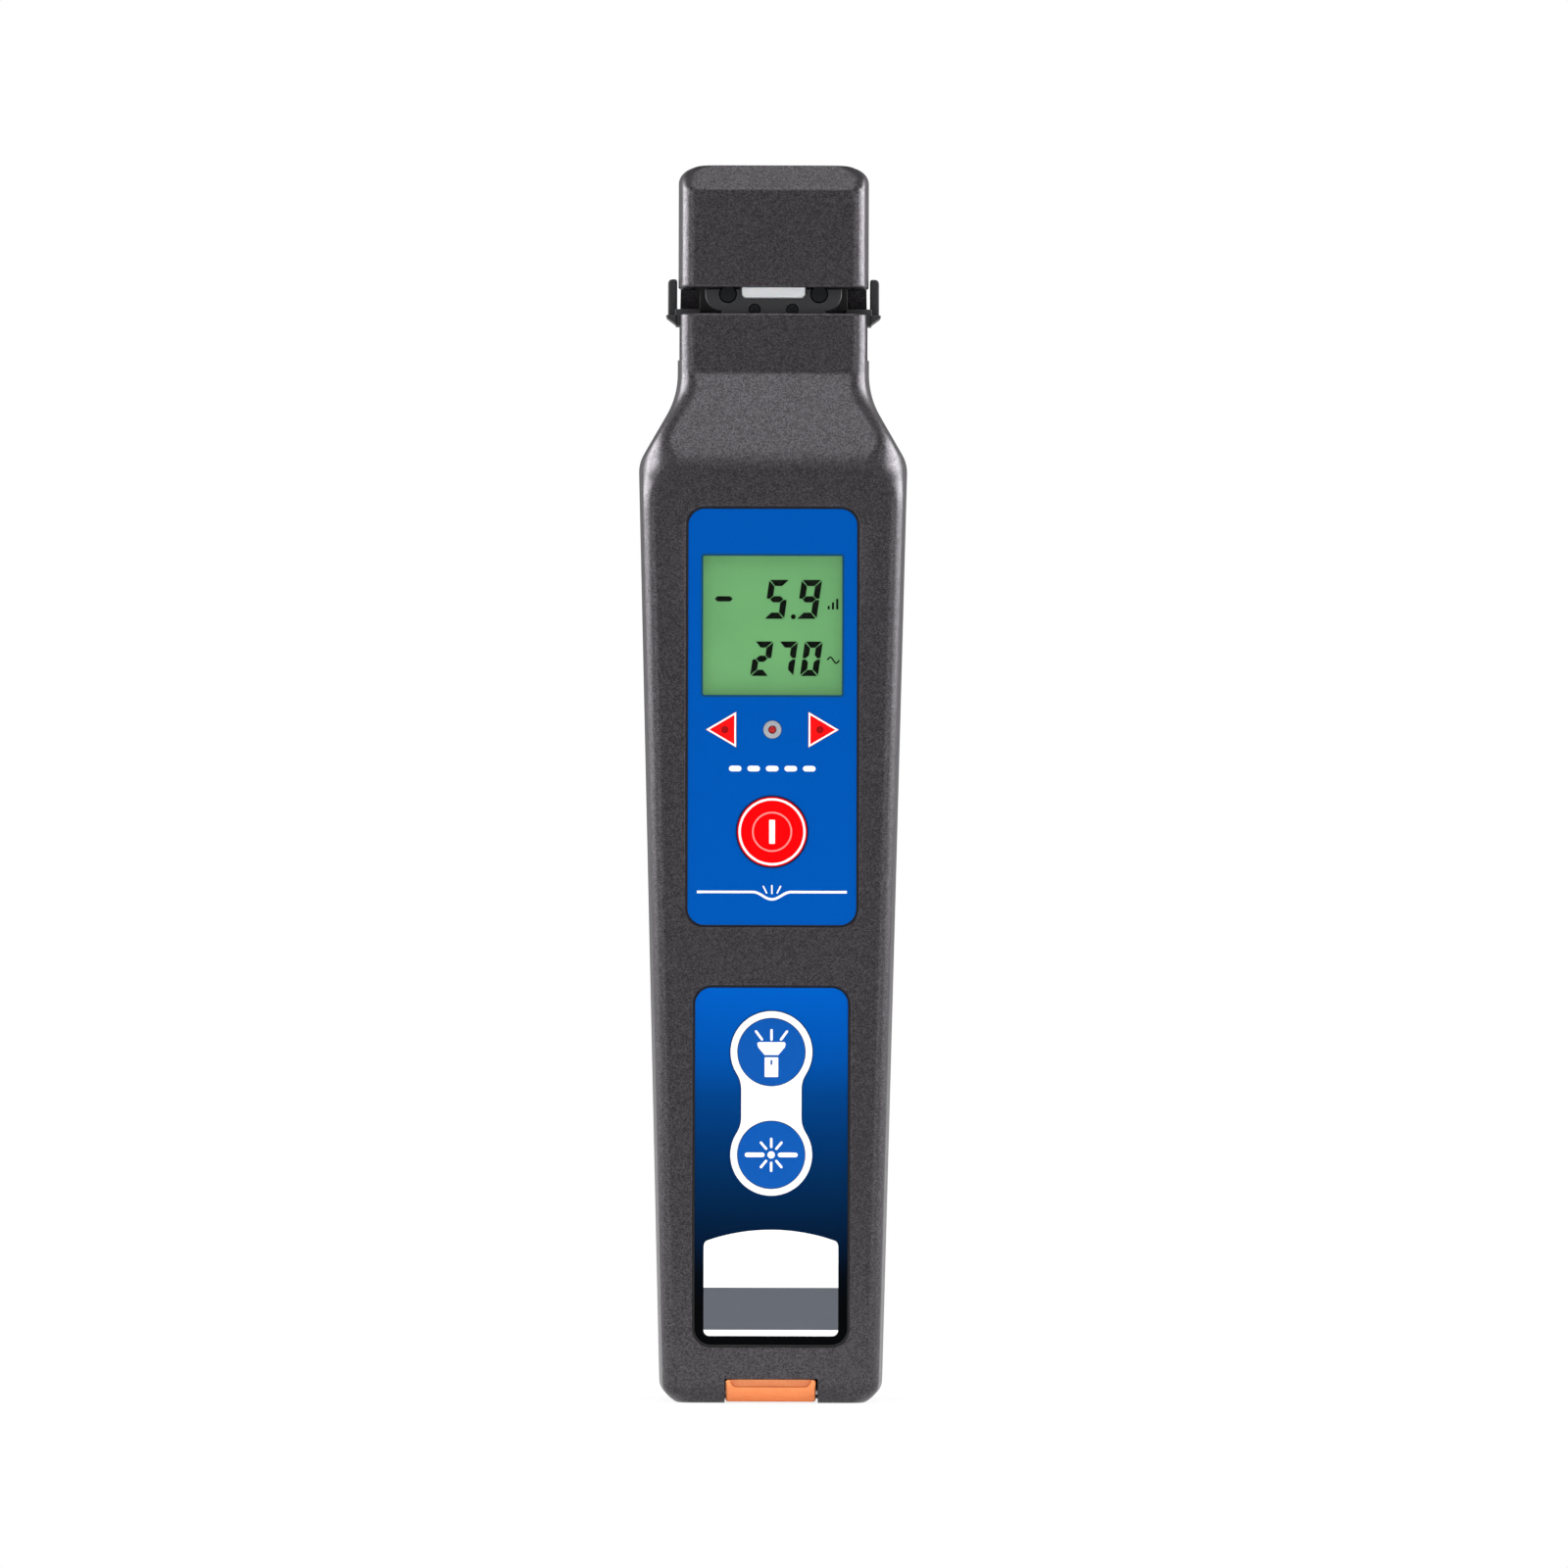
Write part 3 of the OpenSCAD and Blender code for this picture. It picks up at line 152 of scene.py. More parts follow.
def lacqueredAbs():
    material, tree, shader = newMaterial("lacqueredAbs", "38363b", 0.42, {"Metallic": lacquer["metallic"], "IOR": 1.5})
    mottle = noise(tree, lacquer["mottleMm"], 5.0, 0.75)
    tone = toneRamp(tree, mottle, "Fac", list(zip(lacquer["mottleSpan"], (lacquer["deep"], lacquer["light"]))))
    cells = addNode(tree, "TexVoronoi", {"Scale": 1 / (lacquer["flakeMm"] * mm)}, {"Vector": objectPlace(tree)})
    chance = addNode(tree, "SeparateColor", {}, {"Color": (cells, "Color")})
    flake = mapRange(tree, chance, "Red", 0.0, lacquer["flakeMost"], lacquer["flakeFrom"])
    # Sockets 6 and 7 are the mix node's two colours, and output 2 its colour result
    speckled = addNode(tree, "Mix", {"data_type": "RGBA", 7: paint(lacquer["flakeTone"])},
                       {"Factor": (flake, "Result"), 6: (tone, "Color")})
    drive(tree, shader, "Base Color", speckled, 2)
    sheen = mapRange(tree, chance, "Green", lacquer["roughLow"], lacquer["roughHigh"])
    drive(tree, shader, "Roughness", sheen, "Result")
    addBump(tree, shader, noise(tree, lacquer["grainMm"], 3.0, 0.6), lacquer["grainDepth"], 0.6)
    return material


# Glass-filled nylon, moulded black with a spark-eroded texture that dulls its shine
def mouldedNylon(name, tone, lighter):
    return mottled(name, tone, 0.55, {"IOR": 1.53}, (tone, lighter), 0.3, 3.0, 0.6, (0.35, 0.75), (0.03, 0.4))


# Polyester film printed on its back, with a velvet hard coat in front: flat colour and hardly any glare.
# The lower one has a halftone fade from blue down to black
film = {"rough": 0.38, "coat": {"IOR": 1.57, "Specular IOR Level": 0.02}, "weaveMm": 0.25, "bump": (0.006, 0.2),
        "fade": [(0.1, "010203"), (0.2, "010610"), (0.35, "001c3c"), (0.46, "002750"), (0.575, "003168"),
                 (0.70, "003e82"), (0.79, "004ca1"), (1.0, "005bbf")]}


def fadedFilm():
    material, tree, shader = newMaterial("fadedFilm", "0b3f86", film["rough"], film["coat"])
    split = addNode(tree, "SeparateXYZ", {}, {"Vector": objectPlace(tree)})
    foot, top = (corner[2] * mm for corner in boxOf("lower_panel"))
    height = mapRange(tree, split, "Z", 0.0, 1.0, foot, top)
    drive(tree, shader, "Base Color", toneRamp(tree, height, "Result", film["fade"]), "Color")
    addBump(tree, shader, noise(tree, film["weaveMm"]), *film["bump"])
    return material


# Screen ink on the film: opaque, slightly matt, with a trace of mesh unevenness. A glow above nought is painted light
# that lifts its colour
def screenInk(name, tone, darker, rough=0.42, paintedGlow=0.0, gloss=0.12):
    return mottled(name, tone, rough, {"IOR": 1.5, "Specular IOR Level": gloss, "Emission Color": tone,
                                       "Emission Strength": paintedGlow}, (darker, tone), 0.18, 1.0, 0.5, (0.25, 0.6))


# Clear cast acrylic for the display window and the torch lens, its gloss broken by faint wear
def castAcrylic():
    material, tree, shader = newMaterial("castAcrylic", "465046", 0.04, {
        "IOR": 1.49, "Alpha": 0.05, "Specular IOR Level": 0.1})
    drive(tree, shader, "Roughness", mapRange(tree, noise(tree, 6.0), "Fac", 0.03, 0.09), "Result")
    return material


# A turned or rolled metal: fine lines along one axis break its shine
def workedMetal(name, tone, rough, lineMm=0.12, stretch=(1, 1, 12)):
    material, tree, shader = newMaterial(name, tone, rough, {"Metallic": 1.0})
    squeeze = addNode(tree, "Mapping", {"Scale": tuple(1 / s for s in stretch)}, {"Vector": objectPlace(tree)})
    lines = noise(tree, lineMm, spot=(squeeze, "Vector"))
    drive(tree, shader, "Roughness", mapRange(tree, lines, "Fac", rough * 0.75, rough * 1.3), "Result")
    addBump(tree, shader, lines, 0.01, 0.2)
    return material


# FR4 board under green solder mask, with copper tracks showing as lighter bands
def solderMask():
    material, tree, shader = newMaterial("solderMask", "1c6b3c", 0.3, {"IOR": 1.55})
    tracks = addNode(tree, "TexBrick",
                     {"Scale": 1 / (9 * mm), "Color1": paint("1a6438"), "Color2": paint("20733f"),
                      "Mortar": paint("2c8a50"), "Mortar Size": 0.03}, {"Vector": objectPlace(tree)})
    drive(tree, shader, "Base Color", tracks, "Color")
    addBump(tree, shader, tracks, 0.03, 0.3)
    return material


# An AA cell's shrink sleeve along its length: bare nickel, deep blue, a light band, dark, nickel again
sleeve = {"blue": "23466a", "nickelFrom": 0.955,
          "tones": [(0.0, "c9cbce"), (0.012, "23466a"), (0.66, "c8ccd2"), (0.69, "2f3236"), (0.955, "c9cbce")]}


def sleevedCell(name, node, nubUp):
    material, tree, shader = newMaterial(name, sleeve["blue"], 0.28, {"IOR": 1.5})
    split = addNode(tree, "SeparateXYZ", {}, {"Vector": objectPlace(tree)})
    ends = [corner[2] * mm for corner in boxOf(node)][::1 if nubUp else -1]
    along = mapRange(tree, split, "Z", 0.0, 1.0, *ends)
    drive(tree, shader, "Base Color", toneRamp(tree, along, "Result", sleeve["tones"], "CONSTANT"), "Color")
    shine = addNode(tree, "Math", {"operation": "GREATER_THAN", 1: sleeve["nickelFrom"]}, {0: (along, "Result")})
    drive(tree, shader, "Metallic", shine, "Value")
    return material


casingPaint = lacqueredAbs()
blackNylon = mouldedNylon("mouldedNylon", "1d1d20", "2b2b2f")
softBlack = mouldedNylon("triggerRubber", "1b1b1d", "27272a")
chipEpoxy = mouldedNylon("chipEpoxy", "151516", "222224")
blueFilm = mottled("printedFilm", "0054b0", film["rough"], film["coat"], ("0051ac", "0056b3"), film["weaveMm"],
                   bump=film["bump"])
lowerFilm = fadedFilm()
acrylic = castAcrylic()
# Reflective liquid crystal cell with a green backlight behind its polariser
lcdGreen = mottled("lcdCell", "6fae6d", 0.4, {"IOR": 1.5, "Emission Color": "74b072", "Emission Strength": 0.36},
                   ("58965a", "5f9d60"), 9.0, 1.0, 0.4)
# Polypropylene flap, moulded orange, with a soft sheen and fine grain
orangeFlap = mottled("orangePolypropylene", "ff9a5a", 0.42,
                     {"IOR": 1.49, "Subsurface Weight": 0.06, "Subsurface Scale": 0.5 * mm},
                     ("fe9354", "ffa063"), 0.35, bump=(0.02, 0.25))
# Acetal, natural white and faintly translucent, with a faint glow that is painted light lifting the anvil out of the
# head's shade
acetalPaintedGlow = mottled("naturalAcetalPaintedGlow", "f4f6fa", 0.3,
                 {"IOR": 1.48, "Subsurface Weight": 0.15, "Subsurface Scale": 0.8 * mm,
                  "Emission Color": "f4f6fa", "Emission Strength": 0.14}, ("eff1f6", "fafbfd"), 1.2)
keyBlue = screenInk("keyBlueInk", "0055ad", "0051a7")
# The white and the red ink glow faintly: painted light
whiteInk = screenInk("whiteInk", "fdfdfd", "f6f6f8", 0.45, 0.08)
redInk = screenInk("redInk", "f90206", "ee0309", 0.36, 0.03, 0.05)
paleRedInk = screenInk("paleRedInk", "ff8f8c", "fb8683")
darkRedInk = screenInk("darkRedInk", "a3060c", "960409")
greyInk = screenInk("greyInk", "5b5f67", "585c64")
tealInk = screenInk("tealInk", "0a4a73", "093f66")
# Dark blue ink: a printed outline round the white link, and painted shade round the power key
outlineAndShadeInk = screenInk("outlineAndShadeInk", "02295c", "02234f")
blackInk = screenInk("segmentBlack", "060a06", "040704", 0.6, 0.0, 0.0)
# Small mouldings and films that share the ink's even colour, glossier where they are bare plastic
bezelGrey = screenInk("bezelPolycarbonate", "a6aab0", "9c9fa6", 0.3, 0.0, 0.4)
# The red dome and the arrow lenses glow faintly: painted light
signRed = screenInk("signalEpoxy", "b80f0f", "a50c0c", 0.2, 0.05, 0.4)
arrowRed = screenInk("arrowPolycarbonate", "f90408", "f00509", 0.3, 0.08, 0.2)
polyimide = screenInk("polyimideFilm", "c78a34", "b87c2a", 0.3)
ledEpoxy = screenInk("ledEpoxy", "e9e2c2", "ddd4ad", 0.18)
diffuser = screenInk("opalAcrylic", "f1f5ec", "e6ecdf", 0.35)
ivoryNylon = screenInk("ivoryNylon", "e3ddc9", "d6cfb8", 0.4)
zincSteel = workedMetal("zincSteel", "b9bcc2", 0.3)
blackSteel = workedMetal("blackOxideSteel", "2d2e31", 0.38)
nickelSilver = workedMetal("nickelPlate", "cfd0d2", 0.2)
turnedBrass = workedMetal("turnedBrass", "c19a4c", 0.25)
castZinc = workedMetal("castZinc", "8e9094", 0.42, 0.6, (1, 1, 1))
springSteel = workedMetal("springSteel", "c4c6ca", 0.24, 0.1, (1, 1, 1))
boardGreen = solderMask()
print("materials made")


def place(name, data):
    thing = bpy.data.objects.new(name, data)
    bpy.context.scene.collection.objects.link(thing)
    return thing


# Smooth faces, split at sharp edges, with normals that favour the large flat faces
def soften(piece, sharpest=30):
    mesh = piece.data
    mesh.polygons.foreach_set("use_smooth", [True] * len(mesh.polygons))
    mesh.set_sharp_from_angle(angle=radians(sharpest))
    normals = piece.modifiers.new("faceNormals", "WEIGHTED_NORMAL")
    normals.keep_sharp = True
    normals.weight = 60


# Joins rings of equal count into a closed skin: capped at both ends, or led back to its first ring
def stackRings(rings, loop=False):
    count = len(rings[0])
    faces = [] if loop else [list(range(count))[::-1], [(len(rings) - 1) * count + j for j in range(count)]]
    for i in range(len(rings) if loop else len(rings) - 1):
        n = (i + 1) % len(rings)
        for j in range(count):
            k = (j + 1) % count
            faces.append([i * count + j, i * count + k, n * count + k, n * count + j])
    mesh = bpy.data.meshes.new("skin")
    mesh.from_pydata([(x * mm, y * mm, z * mm) for ring in rings for x, y, z in ring], [], faces)
    work = bmesh.new()
    work.from_mesh(mesh)
    bmesh.ops.recalc_face_normals(work, faces=work.faces)
    if work.calc_volume(signed=True) < 0:
        bmesh.ops.reverse_faces(work, faces=work.faces)
    work.to_mesh(mesh)
    work.free()
    return mesh


# Rounds a closed skin's sharp edges over by size
def roundOff(mesh, size, steps=3, sharpest=35):
    work = bmesh.new()
    work.from_mesh(mesh)
    edges = [e for e in work.edges if e.calc_face_angle(0) > radians(sharpest)]
    bmesh.ops.bevel(work, geom=edges, offset=size * mm, segments=steps, profile=0.5, affect="EDGES",
                    clamp_overlap=True)
    work.to_mesh(mesh)
    work.free()
    return mesh


def cutOut(piece, mesh):
    tool = place("tool", mesh)
    step = piece.modifiers.new("cut", "BOOLEAN")
    step.operation, step.solver, step.object = "DIFFERENCE", "EXACT", tool
    depsgraph = bpy.context.evaluated_depsgraph_get()
    made = bpy.data.meshes.new_from_object(piece.evaluated_get(depsgraph))
    piece.modifiers.remove(step)
    old, piece.data = piece.data, made
    bpy.data.meshes.remove(old)
    bpy.data.objects.remove(tool)


# Makes a piece from its parts, each a mesh or (mesh, cutters), and says what it is: the body it rides on and the CAD
# nodes it stands for
def makePiece(name, parts, material, body, slotName, *replaced, smooth=True):
    pieces = []
    for part in parts:
        mesh, cutters = part if isinstance(part, tuple) else (part, [])
        mesh.materials.append(material)
        pieces.append(place(name, mesh))
        for cutter in cutters:
            cutOut(pieces[-1], cutter)
    whole = pieces[0]
    if len(pieces) > 1:
        with bpy.context.temp_override(active_object=whole, object=whole,
                                       selected_editable_objects=pieces, selected_objects=pieces):
            bpy.ops.object.join()
    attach(whole, body)
    if replaced:
        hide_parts(*replaced)
    if smooth:
        soften(whole)
    return whole


# Outlines are lists of (x, z) in millimetres, drawn either way round
def lay(outline, y):
    return [(x, y, z) for x, z in outline]


def arc(cx, cz, r, start, end, steps):
    turns = [radians(start + (end - start) * i / steps) for i in range(steps + 1)]
    return [(cx + r * cos(t), cz + r * sin(t)) for t in turns]


def circle(cx, cz, r, steps=64):
    return arc(cx, cz, r, 0, 360 - 360 / steps, steps - 1)


def roundRect(cx, cz, w, h, r, steps=8):
    x, z = w / 2 - r, h / 2 - r
    return (arc(cx + x, cz + z, r, 0, 90, steps) + arc(cx - x, cz + z, r, 90, 180, steps)
            + arc(cx - x, cz - z, r, 180, 270, steps) + arc(cx + x, cz - z, r, 270, 360, steps))


# The two rounded lower corners of a shape, from left to right
def roundFoot(half, foot, r, steps):
    return arc(-half + r, foot + r, r, 180, 270, steps) + arc(half - r, foot + r, r, 270, 360, steps)


def mirrored(right):
    return right + [(-x, z) for x, z in reversed(right)]


# Moves every side of an outline inwards by d; sharp corners move by no more than d over cornerLimit
def inset(outline, d, cornerLimit=0.35):
    count = len(outline)
    area = sum(outline[i][0] * outline[(i + 1) % count][1] - outline[(i + 1) % count][0] * outline[i][1]
               for i in range(count))
    turn = 1 if area > 0 else -1
    moved = []
    for i in range(count):
        before, here, after = (Vector(outline[(i + k) % count]) for k in (-1, 0, 1))
        a = (here - before).normalized()
        b = (after - here).normalized()
        normal = Vector((-(a.y + b.y), a.x + b.x)) * turn
        if normal.length < 1e-9:
            normal = Vector((-a.y, a.x)) * turn
        normal.normalize()
        stretch = max(cornerLimit, normal.dot(Vector((-a.y, a.x)) * turn))
        moved.append(tuple(here + normal * (d / stretch)))
    return moved


# Cosine and sine of a quarter turn in steps, for rounding edges over
def quarter(steps):
    return [(cos(a), sin(a)) for a in [radians(90 * i / steps) for i in range(steps + 1)]]


# A plate in x and z from yBack to yFront, its front edge rounded over by edge
def plate(outline, yFront, yBack, edge=0.0, steps=3):
    way = 1 if yBack > yFront else -1
    front = [lay(inset(outline, edge * (1 - c)), yFront + way * edge * (1 - s)) for c, s in quarter(steps)]
    return stackRings([lay(outline, yBack)] + (front if edge else [lay(outline, yFront)]))


# A turned solid along y, its profile written as (radius, y); as a loop it is a ring
def turned(cx, cz, profile, steps=96, loop=False):
    return stackRings([lay(circle(cx, cz, r, steps), y) for r, y in profile], loop)


def rod(cx, cz, r, y0, y1, steps=64):
    return turned(cx, cz, [(r, y0), (r, y1)], steps)


def box(x0, x1, y0, y1, z0, z1):
    return stackRings([[(x0, y0, z), (x1, y0, z), (x1, y1, z), (x0, y1, z)] for z in (z0, z1)])


# A cutter from yDeep out past the face at yFace, flared near the face by lip for a soft edge
def flaredCutter(outline, yFace, yDeep, lip):
    way = 1 if yDeep > yFace else -1
    rings = [lay(outline, yDeep)]
    for share, out in ((1.0, 0.0), (0.62, 0.08), (0.3, 0.3), (0.0, 1.0)):
        rings.append(lay(inset(outline, -lip * out), yFace + way * lip * share))
    return stackRings(rings + [lay(inset(outline, -lip - 0.4), yFace - way)])


inkLayer, inkGap = 0.02, 0.002  # a print's thickness, and how far it stands clear of its face


# A flat printed ring on the face at y
def inkRing(name, outer, inner, y, material, body="casing", slotName="panel_blue"):
    rings = [lay(outer, y - inkLayer), lay(inner, y - inkLayer), lay(inner, y - inkGap), lay(outer, y - inkGap)]
    makePiece(name, [stackRings(rings, True)], material, body, slotName, smooth=False)


# Joins all prints of one ink into one piece; a shape with holes is written as (outline, [holes])
def printSet(name, shapes, y, material, body="casing", slotName="panel_blue", depth=inkLayer):
    parts = []
    for shape in shapes:
        outline, holes = shape if isinstance(shape, tuple) else (shape, [])
        parts.append((plate(outline, y - depth, y - inkGap), [plate(hole, y - 1, y + 1) for hole in holes]))
    makePiece(name, parts, material, body, slotName, smooth=False)


# The casing's own sizes, as the frame has them. Corner and lip radii are the finish that shows up close
casing = {"footHalf": 19.0, "footCut": 2.4, "footBow": 2.0, "footZ": 3.2, "shoulderHalf": 22.85, "shoulderZ": 158.0,
          "neckHalf": 16.3, "neckZ": 174.7, "neckTop": 184.8, "headZ": 189.2, "headHalf": 16.2,
          "top": 210.0, "frontY": -16.0, "neckY": -11.0, "rearY": 16.0, "neckRearY": 13.5,
          "slopeZ": 156.8, "slopeTurn": 4.7, "rearSlopeZ": 134.0, "rearSlopeH": 22.0, "lean": 30.0,
          "turnShare": 0.3, "bevelH": 4.0, "bevelD": 3.2, "crownH": 2.9, "crownW": 3.7, "crownD": 2.4,
          "frontEdge": 2.6, "shoulderEdge": 4.0, "neckEdge": 0.8, "edgeSwell": 3.0, "rearEdge": 3.5, "leastEdge": 0.4,
          "draft": 0.6, "wall": 2.0, "kinkSoft": 0.45, "lip": 0.3, "seam": 0.14, "edgeRound": 0.38}
lean = radians(casing["lean"])
arcsR = ((casing["neckZ"] - casing["shoulderZ"]) * sin(lean)
         - (casing["shoulderHalf"] - casing["neckHalf"]) * cos(lean)) / (1 - cos(lean))
turnR = arcsR * casing["turnShare"]
hollowR = arcsR - turnR
lineZ = casing["shoulderZ"] + turnR * sin(lean)
lineX = casing["shoulderHalf"] - turnR * (1 - cos(lean))
hollowZ = casing["neckZ"] - hollowR * sin(lean)
slopeRate = (casing["neckY"] - casing["frontY"]) / (casing["neckZ"] - casing["slopeZ"] - casing["slopeTurn"] / 2)
crownZ = casing["top"] - casing["crownH"]


def crownAt(z):
    c = casing
    return 0.0 if z < crownZ else 1 - sqrt(max(0.0, 1 - ((z - c["top"] + c["crownH"]) / c["crownH"]) ** 2))


def footIn(z):
    return casing["footCut"] * (1 - z / casing["footZ"]) ** casing["footBow"]


def between(z, z0, z1, a, b):
    return a + (b - a) * (z - z0) / (z1 - z0)


def sideExact(z):
    c = casing
    if z < c["footZ"]:
        return c["footHalf"] - footIn(z)
    if z < c["shoulderZ"]:
        return between(z, c["footZ"], c["shoulderZ"], c["footHalf"], c["shoulderHalf"])
    if z < lineZ:
        return c["shoulderHalf"] - turnR + sqrt(turnR ** 2 - (z - c["shoulderZ"]) ** 2)
    if z < hollowZ:
        return lineX - (z - lineZ) * tan(lean)
    if z < c["neckZ"]:
        return c["neckHalf"] + hollowR - sqrt(hollowR ** 2 - (c["neckZ"] - z) ** 2)
    if z < c["headZ"]:
        return between(max(z, c["neckTop"]), c["neckTop"], c["headZ"], c["neckHalf"], c["headHalf"])
    return c["headHalf"] - c["crownW"] * crownAt(z)


def frontExact(z):
    c = casing
    up = z - c["slopeZ"]
    if z < c["footZ"]:
        return c["frontY"] + footIn(z)
    if up < 0:
        return c["frontY"]
    if z < c["slopeZ"] + c["slopeTurn"]:
        return c["frontY"] + slopeRate * up ** 2 / 2 / c["slopeTurn"]
    if z < c["neckZ"]:
        return c["frontY"] + slopeRate * (up - c["slopeTurn"] / 2)
    return c["neckY"] + c["bevelD"] * max(0, z - c["top"] + c["bevelH"]) / c["bevelH"]


def rearExact(z):
    c = casing
    if z < c["footZ"]:
        return c["rearY"] - footIn(z)
    if z < c["rearSlopeZ"]:
        return c["rearY"]
    if z < c["rearSlopeZ"] + c["rearSlopeH"]:
        share = (1 - cos(pi * (z - c["rearSlopeZ"]) / c["rearSlopeH"])) / 2
        return c["rearY"] - (c["rearY"] - c["neckRearY"]) * share
    return c["neckRearY"] - c["crownD"] * crownAt(z)


# Rounds a profile's kinks by averaging it over a short height
def softened(profile, z):
    spots = [min(casing["top"], z + casing["kinkSoft"] * k / 3) for k in range(-3, 4)]
    return sum(profile(s) for s in spots) / len(spots)


# The vertical edge's radius; it swells where the shoulder and the neck turn
def frontEdgeAt(z):
    c = casing
    return (c["frontEdge"] + c["shoulderEdge"] * exp(-((z - c["shoulderZ"] - 1.0) / c["edgeSwell"]) ** 2)
            + c["neckEdge"] * exp(-((z - c["neckZ"] + 3.5) / c["edgeSwell"]) ** 2))


# One level of a casing half, drawn in by rim; the inner one runs 1 mm past the joint, for cutting
def halfRing(z, rim, frontHalf, inner):
    c, sign = casing, 1 if frontHalf else -1
    wall, steps = (c["wall"], 3) if inner else (0, 9)
    crown = z > crownZ - c["kinkSoft"]
    side = sideExact(z) if crown else softened(sideExact, z)
    depth = rearExact(z) if crown and not frontHalf else softened(frontExact if frontHalf else rearExact, z)
    w = side - wall - rim
    r = max((frontEdgeAt(z) if frontHalf else c["rearEdge"]) - wall, c["leastEdge"])
    cx, cy = w - c["draft"] - r, depth + (wall + rim) * sign + r * sign
    start = [(-w, sign)] if inner else [(-(w - c["seam"]), 0.0), (-w, -c["seam"] * sign)]
    corners = (arc(-cx, cy, r, 180, 180 + 90 * sign, steps)
               + arc(cx, cy, r, 180 + 90 * sign, 180 + 180 * sign, steps))
    return [(x, y, z) for x, y in start + corners + [(-x, y) for x, y in reversed(start)]]


def loft(levels, frontHalf, inner=False):
    return stackRings([halfRing(z, rim, frontHalf, inner) for z, rim in sorted(levels)])


# Heights at which the skin is drawn, each with how far its rim is drawn in there
def level(*spots):
    return [(z, 0.0) for z in spots]


def spread(low, high, count):
    return [low + (high - low) * i / count for i in range(1, count + 1)]


def rimLevels(z, way):
    r = casing["edgeRound"]
    return [(z + way * r * (1 - c), r * (1 - s)) for c, s in quarter(4)]


footLevels = [(0.0, 0.22), (0.06, 0.09)] + level(0.22, 0.6, 1.0, 1.4, 1.8, 2.2, 2.6, 3.0, 3.3, 3.7)
bodyLevels = level(30, 60, 95, 134, *spread(134, 156, 14), *spread(156, 158, 3), *spread(158, 174.2, 26),
                   174.5, 174.8, 175.1, 175.5, 180)
crownLevels = level(200, 205.4, 205.7, 206.0, 206.3, 206.6, 207.1,
                    *[crownZ + casing["crownH"] * s for c, s in quarter(12)[1:]])
insideBody = level(2.0, 5.2, 134.0, 145.0, 157.0, 160.0, 165.0, 170.0, 174.7, 186.0)
insideHead = level(191.2, 204.0, 208.0)

# Openings of the casing; boxes are x, y and z from and to, and a screw hole is x, z and its seat's y
openings = {"behind": -13, "recessGap": 0.15, "panelRound": 3.0, "signalZ": 114.1, "signalR": 1.57, "keyGap": 0.1,
            "arrowGap": 0.15, "ear": (12.3, 32.6, -6.8, 4.3, 177.0, 185.8), "foot": (-7.8, 8.0, -18, 4.2, -1, 4.15),
            "anvil": (-13.5, 13.5, -9, 1.4, 188.2, 192.2), "spine": (-12.8, 12.8, 7.2, 11.5, 183.8, 192.2),
            "tray": (-15.7, 15.7, -1, 15, 29.6, 88.3), "tab": (5.7, 10.3, -1, 15, 24.8, 26.8),
            "trigger": (7.4, 163.2, 177.3), "triggerLip": 0.35, "door": (0, 56.6, 30.6, 63.6, 0.8), "doorY": 14.0,
            "doorLip": 0.3, "slotRear": 5.6, "port": (0, 9, 3.05), "screwR": 2.35, "shankR": 1.35, "screwLip": 0.25,
            "liningR": 3.4, "liningWall": 1.2, "liningEnd": 0.05,
            "screws": ((13, 13, 4.0), (16.4, 98, 4.0), (17.2, 151, 4.0), (10.6, 204, 3.0))}
keyPlaces = {"power_key": (96.8, 5.9), "torch_key": (59.5, 5.7), "locator_key": (42.1, 5.7)}  # z and radius
arrow = {"tip": 11.3, "base": 6.1, "half": 3.05, "sourceX": 8.05, "sourceR": 0.62}
arrowNodes = {-1: "arrow_lens_left", 1: "arrow_lens_right"}


def sideBox(side, sizes):
    x0, x1 = sorted((side * sizes[0], side * sizes[1]))
    return box(x0, x1, *sizes[2:])


# Both halves share the ear slots in the neck and the cover's notch in the foot
def sharedRooms():
    return [sideBox(side, openings["ear"]) for side in (-1, 1)] + [box(*openings["foot"])]


# The fibre slot, flared where it opens through both sides
def slotCutter():
    rings = []
    for x, out in ((-24, 0.9), (-16.45, 0.45), (-16.2, 0.2), (-15.9, 0.05), (-15.6, 0.0),
                   (15.6, 0.0), (15.9, 0.05), (16.2, 0.2), (16.45, 0.45), (24, 0.9)):
        z0, z1, y1 = casing["neckTop"] - out, casing["headZ"] + out, openings["slotRear"] + out * 0.6
        rings.append([(x, -12, z0), (x, y1, z0), (x, y1, z1), (x, -12, z1)])
    return stackRings(rings)


def panelOutline(node, grow):
    low, high = boxOf(node)
    return roundRect(0, (low[2] + high[2]) / 2, high[0] - low[0] + 2 * grow, high[2] - low[2] + 2 * grow,
                     openings["panelRound"] + grow, 10)


def arrowOutline(side, grow):
    midZ = centreOf(arrowNodes[side])[2]
    tip, base, half = arrow["tip"] + 2 * grow, arrow["base"] - grow, arrow["half"] + 1.5 * grow
    return [(side * tip, midZ), (side * base, midZ - half), (side * base, midZ + half)]


